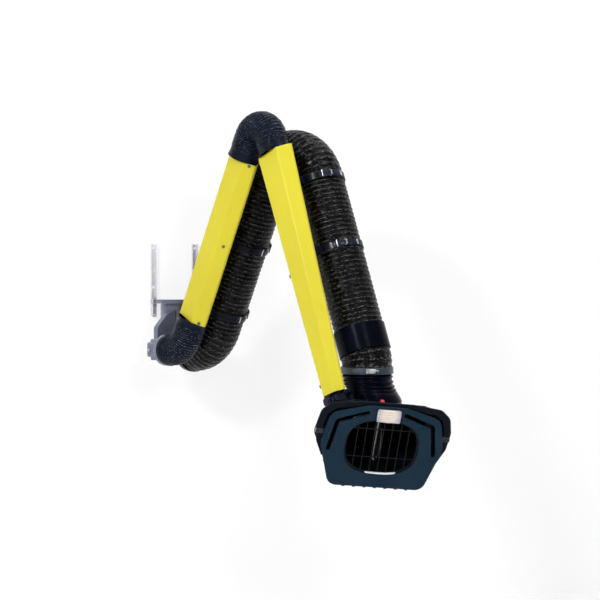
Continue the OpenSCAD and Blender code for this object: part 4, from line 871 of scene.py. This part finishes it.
def block(size, at, ease, cuts=0):
    """Box with rounded edges, cut across its second axis where it has to bend."""
    b = bmesh.new()
    bmesh.ops.create_cube(b, size=1.0)
    for v in b.verts:
        v.co = Vector((v.co.x * size[0], v.co.y * size[1], v.co.z * size[2]))
    bmesh.ops.bevel(b, geom=list(b.edges), offset=ease, segments=3, profile=0.5, affect="EDGES")
    for i in range(cuts):
        y = size[1] * ((i + 1) / (cuts + 1) - 0.5)
        bmesh.ops.bisect_plane(b, geom=list(b.verts) + list(b.edges) + list(b.faces), plane_co=(0, y, 0),
                               plane_no=(0, 1, 0))
    b.verts.index_update()
    points = np.array([tuple(v.co) for v in b.verts]) + np.array(at)
    faces = [tuple(v.index for v in f.verts) for f in b.faces]
    b.free()
    return points, faces


def lathe(profile, sides, at=(0, 0, 0), axis=2):
    """Turned part: profile is a list of (radius, height), closed at both ends."""
    rings = [[(r * math.cos(a), r * math.sin(a), h) for a in round_angles(sides)] for r, h in profile]
    points = np.roll(np.array(rings).reshape(-1, 3), axis - 2, axis=1) + np.array(at)
    return points, bar_faces(len(profile), sides)


def joined(name, parts, place, slot, material=None):
    points, faces = [], []
    for more, sides in parts:
        first = sum(len(q) for q in points)
        points.append(more)
        faces += [tuple(first + i for i in f) for f in sides]
    o = add_mesh(name, place(np.concatenate(points)), faces, slot, material=material)
    o.data.set_sharp_from_angle(angle=math.radians(34))
    return o


# Latches and clamp on the hose. Their blocks are (along the hose, round it, outwards).

BAND_R = HOSE_R + 0.0033
TO_ROOM = np.array([-0.213, -0.977, 0.0])


def round_hose(middle, axis, turned):
    """Frame on a band: along the hose, round it, and outwards, seen turned from the front of the hose."""
    axis = unit(axis)
    front = unit(TO_ROOM - (TO_ROOM @ axis) * axis)
    side = np.cross(front, axis)
    if side[0] < 0:
        side = -side
    base = math.radians(turned)

    def place(p):
        a = base + p[:, 1] / BAND_R
        out = np.cos(a)[:, None] * front + np.sin(a)[:, None] * side
        return middle + p[:, :1] * axis + (BAND_R + p[:, 2:]) * out
    return place


def hose_middle(at, x, z):
    return at(np.array([x, -ARM_SIDE, z]))


def latch_pin(r, at):
    return lathe([(0.001, -0.0118), (r, -0.0112), (r, 0.0112), (0.001, 0.0118)], 14, at, 0)


def latch(name, at, x, z, turned, body):
    """Over-centre latch on a hose strap, with the loose end of the strap under it."""
    middle = hose_middle(at, x, z)
    axis = hose_middle(at, x + 0.1, z) - middle
    place = round_hose(middle, axis, turned)
    base = block((0.019, 0.044, 0.0018), (0, 0, 0.0008), 0.0006, 5)
    cheeks = [block((0.0032, 0.036, 0.0058), (far, 0.001, 0.003), 0.001, 3) for far in (0.0092, -0.0092)]
    lever = block((0.0136, 0.023, 0.0042), (0, 0.005, 0.0046), 0.0012, 3)
    strap_end = block((0.016, 0.052, 0.0014), (0, 0.046, 0.0007), 0.0005, 6)
    dark = joined(name, [base, *cheeks, lever, strap_end], place, "strap", material=MATERIALS["clip_paint"])
    pivot, catch = latch_pin(0.0022, (0, -0.0115, 0.0046)), latch_pin(0.0018, (0, 0.015, 0.004))
    lip = block((0.015, 0.004, 0.0016), (0, 0.019, 0.0062), 0.0005)
    end_tip = block((0.017, 0.006, 0.0022), (0, 0.064, 0.0012), 0.0007)
    pins = joined(name + "_pins", [pivot, catch, lip, end_tip], place, "fasteners")
    for piece in (dark, pins):
        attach(piece, body)


up_strap_two = UP_COVER_FROM + UP_STRAP_SHARE * (UP_COVER_TO - UP_COVER_FROM)
low_strap_two = LOW_COVER_FROM + LOW_STRAP_SHARE * (LOW_COVER_TO - LOW_COVER_FROM)
latch("latch_top", at_upper, hose_up_from + UP_STRAP_IN, HOSE_OUT_UP, 16, "upper_arm")
latch("latch_up", at_upper, up_strap_two, HOSE_OUT_UP, 8, "upper_arm")
latch("latch_low", at_lower, LOW_COVER_FROM + LOW_STRAP_IN, HOSE_OUT_LOW, 58, "lower_arm")
latch("latch_mid", at_lower, low_strap_two, HOSE_OUT_LOW, 58, "lower_arm")


def neck_clamp_parts():
    """Worm drive and loose end of the band clamp on the hose's neck."""
    middle = at_swivel(np.array([neck_pose[0][0], 0.0, neck_pose[0][1] + NECK_TAIL / 2]))
    place = round_hose(middle, np.array([0.0, 0.0, 1.0]), 4)
    saddle = block((0.014, 0.03, 0.0022), (0, 0.002, 0.001), 0.0007, 4)
    case = block((0.015, 0.019, 0.0095), (0, 0.004, 0.006), 0.0024)
    head = lathe([(0.004, -0.006), (0.005, -0.0052), (0.005, 0.0046), (0.0042, 0.0054)], 6,
                 (0, 0.019, 0.0062), 1)
    collar = lathe([(0.0064, -0.001), (0.007, -0.0006), (0.007, 0.0006), (0.0064, 0.001)], 20,
                   (0, 0.0145, 0.0062), 1)
    blade = block((0.006, 0.0016, 0.002), (0, 0.0244, 0.0062), 0.0004)
    worm = joined("clamp_worm", [saddle, case, head, collar, blade], place, "fasteners")
    loose_end = block((0.015, 0.06, 0.0014), (0, -0.04, 0.0008), 0.0005, 7)
    keeper = block((0.017, 0.004, 0.002), (0, -0.016, 0.001), 0.0006)
    teeth = [block((0.01, 0.0016, 0.0009), (0, -0.024 - 0.0045 * i, 0.0016), 0.0003) for i in range(9)]
    return worm, joined("clamp_band_end", [loose_end, keeper, *teeth], place, "clamp_steel")


for piece in neck_clamp_parts():
    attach(piece, "upper_arm")


# Small parts of the hood

LENS_W, LENS_H, LENS_CORNER, LENS_ROW = 0.074, 0.042, 0.006, 0.0072
LENS_FRONT, LENS_CROWN, LENS_WAVE, LENS_BACK = 0.0035, 0.0016, 0.0013, -0.004
LENS_RIM_W, LENS_RIM_H = 0.004, 0.003


def lens_point(x, y, j):
    """Point on the front of the lens, with its corners pulled round and its rows wavy."""
    over = np.array([abs(x) - LENS_W / 2 + LENS_CORNER, abs(y) - LENS_H / 2 + LENS_CORNER])
    if (over > 0).all():
        over = over * min(1.0, LENS_CORNER / np.linalg.norm(over))
        x = math.copysign(LENS_W / 2 - LENS_CORNER + over[0], x)
        y = math.copysign(LENS_H / 2 - LENS_CORNER + over[1], y)
    rim = min(1.0, (LENS_W / 2 - abs(x)) / LENS_RIM_W, (LENS_H / 2 - abs(y)) / LENS_RIM_H)
    long_waver, short_waver = 0.5 * math.sin(x * 230), 0.3 * math.sin(x * 510 + j)
    row = math.cos(2 * math.pi * y / LENS_ROW + long_waver + short_waver)
    return x, y, LENS_FRONT + max(0.0, rim) ** 0.5 * (LENS_CROWN + LENS_WAVE * row)


def lens_piece():
    """Lens with wavy rows across it, rounded corners and a skirt into the lamp's body."""
    nx, ny = 56, 49
    points = [lens_point(LENS_W * (i / (nx - 1) - 0.5), LENS_H * (j / (ny - 1) - 0.5), j)
              for j in range(ny) for i in range(nx)]
    faces = [(j * nx + i, j * nx + i + 1, (j + 1) * nx + i + 1, (j + 1) * nx + i)
             for j in range(ny - 1) for i in range(nx - 1)]
    loop = (list(range(nx)) + [j * nx + nx - 1 for j in range(1, ny)]
            + [(ny - 1) * nx + i for i in range(nx - 2, -1, -1)] + [j * nx for j in range(ny - 2, 0, -1)])
    first = len(points)
    points += [(points[i][0], points[i][1], LENS_BACK) for i in loop]
    n = len(loop)
    faces += [(loop[(k + 1) % n], loop[k], first + k, first + (k + 1) % n) for k in range(n)]
    faces.append(tuple(first + k for k in range(n - 1, -1, -1)))
    o = add_mesh("lens_rows", at_face(np.array(points) + np.array([LAMP_X, LAMP_Y, 0])), faces, "lamp_glass")
    o.data.set_sharp_from_angle(angle=math.radians(50))
    return o


lens = lens_piece()
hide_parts("lamp_lens")


def lip_highlight_strip():
    """Bright steel strip on the lower lip of the mouth, a painted reflection: it stands where a lamp's
    highlight would lie on the lip.
    """
    n, m = 14, 25
    rise, half_h, back, half_t = 0.0024, 0.0026, -0.0045, 0.005
    x = np.linspace(-0.04, 0.058, m)
    across = np.abs(x / (MOUTH_W / 2 - MOUTH_LIP)) ** MOUTH_POWER
    low = (MOUTH_H / 2 - MOUTH_LIP) * (1 - across) ** (1 / MOUTH_POWER)
    grow = np.clip(np.minimum(x - x[0], x[-1] - x) / 0.005, 0.15, 1.0) ** 0.5
    rings = [[(x[i], rise - low[i] + half_h * grow[i] * math.sin(a), back + half_t * grow[i] * math.cos(a))
              for a in round_angles(n)] for i in range(m)]
    return add_mesh("lip_highlight_strip", at_face(np.array(rings).reshape(-1, 3)), bar_faces(m, n), "bright_steel")


def edge_tabs():
    """Row of small tabs on the lower edge of the face."""
    size, y, z, pitch = (0.01, 0.009, 0.0042), -0.1385, -0.0052, 0.0335
    return joined("edge_tabs", [block(size, (x, y, z), 0.0014) for x in np.arange(-3, 4) * pitch],
                  at_face, "hood_plastic")


def wall_screw(name, turned):
    """Pan-head screw on the inside wall of the shell, near its mouth."""
    foot, ahead = shell_point(turned, 0.9, HOOD_WALL), shell_point(turned, 0.92, HOOD_WALL)
    beside = shell_point(turned + 0.05, 0.9, HOOD_WALL)
    inward = unit(np.cross(ahead - foot, beside - foot))
    if inward[1] * foot[1] > 0:
        inward = -inward
    u = unit(np.cross(inward, [0.2, 0.1, 1.0]))
    v = np.cross(inward, u)
    head = lathe([(0.0058, -0.001), (0.006, 0.001), (0.0046, 0.0028), (0.0018, 0.0034)], 18)
    washer = lathe([(0.0082, -0.001), (0.0086, 0.0), (0.008, 0.001)], 22)
    return joined(name, [head, washer],
                  lambda p: at_hood(foot + p[:, :1] * u + p[:, 1:2] * v + p[:, 2:] * inward), "fasteners")


def axle_pass(turned, steps=60):
    """Height on the face at which the damper's axle passes the wall of the shell."""
    for i in range(steps + 1):
        p = shell_point(turned, i / steps, HOOD_WALL / 2)
        flat = np.array([p[0] - FACE_AHEAD, p[2] + FACE_LOW])
        if flat @ FACE_OUT > -DAMPER_BACK:
            return float(flat @ FACE_UP)
    return 0.0


def axle_bosses():
    """Sleeves round the damper's axle where it passes the shell."""
    bore, r, ease = 0.0042, 0.009, 0.001
    high, deep = axle_pass(math.pi / 2), axle_pass(-math.pi / 2)
    spans = ((high - 0.006, high + 0.01), (deep - 0.012, deep + 0.006))
    sleeves = [lathe([(bore, a), (r, a), (r, b - ease), (r - ease, b), (bore, b)], 24, (0, 0, 0), 1)
               for a, b in spans]
    return joined("axle_bosses", sleeves,
                  lambda p: at_face(p * np.array([-1, 1, 1]) - np.array([0, 0, DAMPER_BACK])), "hood_plastic")


def rim_web():
    """Thin flange between the bow and the pan, tapered at both ends."""
    m, half_t, narrow, wider, taper = 120, 0.0016, 0.006, 0.018, 0.012
    far = np.concatenate([[0], np.cumsum(np.linalg.norm(np.diff(bow_line, axis=0), axis=1))])
    steps = np.linspace(0, far[-1], m)
    path = np.stack([np.interp(steps, far, np.array(bow_line)[:, i]) for i in (0, 1)], axis=1)
    t = np.gradient(path, axis=0)
    t = t / np.linalg.norm(t, axis=1)[:, None]
    inward = np.stack([-t[:, 1], t[:, 0]], axis=1)
    if inward[m // 2][1] > 0:
        inward = -inward
    part = np.clip(np.minimum(steps, far[-1] - steps) / taper, 0.0, 1.0) ** 0.5
    edge = path + (narrow + wider * part[:, None]) * inward
    front, back = np.full(m, -BOW_BACK + half_t), np.full(m, -BOW_BACK - half_t)
    rows = [np.column_stack(pair) for pair in ((path, front), (edge, front), (edge, back), (path, back))]
    points = np.stack(rows, axis=1).reshape(-1, 3)
    return add_mesh("rim_web", at_face(points), bar_faces(m, 4), "bow_paint", smooth=False)


def rim_flange():
    """Dark rim behind the edge of the face, open at the bottom."""
    outer = [(0.184, -0.042), (0.206, 0.006), (0.213, 0.062), (0.203, 0.112), (0.172, 0.139), (0.08, 0.15)]
    inner = [(0.17, -0.042), (0.184, 0.006), (0.19, 0.062), (0.182, 0.098), (0.16, 0.118), (0.074, 0.134)]
    outline = open_arcs(mirrored(outer), 0.034) + open_arcs(mirrored(inner), 0.02)[::-1]
    thick, round_r, back = 0.005, 0.0018, 0.011
    return plate_piece("rim_flange", [outline], thick, round_r,
                       lambda p: at_face(p - np.array([0, 0, back])), "bow_paint")


def tilt_guard():
    """Sector of a ring round the tilt shaft at the end of the arm."""
    outer_r, inner_r, side, thick, round_r = 0.036, 0.0125, 0.0445, 0.032, 0.003
    sector = ([tuple(outer_r * along(a)) for a in range(122, 239, 6)]
              + [tuple(inner_r * along(a)) for a in range(238, 121, -12)])

    def place(p):
        return at_upper(np.stack([UPPER + p[:, 0], side + p[:, 2], TILT_Z + p[:, 1]], axis=1))
    return plate_piece("tilt_guard", [sector], thick, round_r, place, "navy_paint")


strip, tabs, bosses = lip_highlight_strip(), edge_tabs(), axle_bosses()
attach(tilt_guard(), "hood_carrier")
for piece in [lens, strip, tabs, bosses, rim_web(), rim_flange(), wall_screw("wall_screw_r", 0.16),
              wall_screw("wall_screw_l", math.pi - 0.18)]:
    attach(piece, "hood")


# Stage, light and camera

STAGE_WHITE, STAGE_GRAIN, STAGE_GLOW = 0.97, 1.015, 0.7
STAGE_HALF, WALL_TOP, WALL_Y, FLOOR_Z = 30, 20, 0.0006, -1.32


def mixed(t, factor, one, two):
    n = t.nodes.new("ShaderNodeMixShader")
    for source, socket in zip((factor, one, two), n.inputs):
        t.links.new(source, socket)
    return n.outputs[0]


def stage_material(name):
    """White to the camera and in reflections, with part of the object's shadow, and clear from behind."""
    m, t, p = new_material(name)
    t.nodes.remove(p)
    ray = t.nodes.new("ShaderNodeLightPath").outputs
    seen = maths(t, "MAXIMUM", ray["Is Camera Ray"], ray["Is Glossy Ray"])
    seen = maths(t, "MAXIMUM", seen, ray["Is Transmission Ray"])
    dark, light = (STAGE_WHITE,) * 3, (min(1, STAGE_WHITE * STAGE_GRAIN),) * 3
    diffuse = t.nodes.new("ShaderNodeBsdfDiffuse")
    t.links.new(ramp(t, noise_at(t, coords(t), 30.0), [(0.3, dark), (0.7, light)]), diffuse.inputs["Color"])
    glow = t.nodes.new("ShaderNodeEmission")
    clear = t.nodes.new("ShaderNodeBsdfTransparent")
    geo = t.nodes.new("ShaderNodeNewGeometry")
    white = mixed(t, maths(t, "MULTIPLY", seen, STAGE_GLOW), diffuse.outputs[0], glow.outputs[0])
    one_sided = mixed(t, geo.outputs["Backfacing"], white, clear.outputs[0])
    t.links.new(one_sided, t.nodes["Material Output"].inputs["Surface"])
    return m


def stage_plane(name, near, far):
    """Plane across the whole stage, from a near edge to a far one, each as (y, z)."""
    corners = [(-STAGE_HALF, *near), (STAGE_HALF, *near), (STAGE_HALF, *far), (-STAGE_HALF, *far)]
    mesh = bpy.data.meshes.new(name)
    mesh.from_pydata(corners, [], [(0, 1, 2, 3)])
    mesh.materials.append(stage_material(name))
    linked(name, mesh)


stage_plane("backdrop", (WALL_Y, FLOOR_Z), (WALL_Y, WALL_TOP))
stage_plane("floor", (-STAGE_HALF, FLOOR_Z), (WALL_Y, FLOOR_Z))

world = bpy.data.worlds.new("studio")
scene.world = world
world.use_nodes = True
sky = world.node_tree.nodes["Background"].inputs
sky["Color"].default_value = (0.34, 0.34, 0.35, 1)
sky["Strength"].default_value = 1.0


def area_light(name, place, target, size, power):
    light = bpy.data.lights.new(name, "AREA")
    light.shape = "RECTANGLE"
    light.size, light.size_y = size
    light.energy = power
    o = linked(name, light)
    o.location = place
    o.rotation_euler = (Vector(target) - Vector(place)).to_track_quat("-Z", "Y").to_euler()


area_light("key", (-2.9, -4.1, 2.1), (0.2, -0.7, 0.0), (0.6, 0.6), 130)
area_light("front", (0.9, -5.6, 1.7), (0.3, -0.7, -0.1), (0.7, 0.7), 75)
area_light("top", (1.3, -1.5, 3.2), (0.2, -0.6, 0.0), (1.4, 1.0), 40)

SENSOR_MM, PHOTO_PX, FOCAL_PX = 36.0, 600, 1405.67
EYE, EYE_YAW = (-0.6755, -5.3654, -0.124), -12.3

camera = bpy.data.cameras.new("camera")
camera.sensor_width = SENSOR_MM
camera.lens = SENSOR_MM * FOCAL_PX / PHOTO_PX
eye = linked("camera", camera)
eye.location = EYE
eye.rotation_euler = (math.radians(90), 0, math.radians(EYE_YAW))
scene.camera = eye
scene.view_settings.view_transform = "Standard"
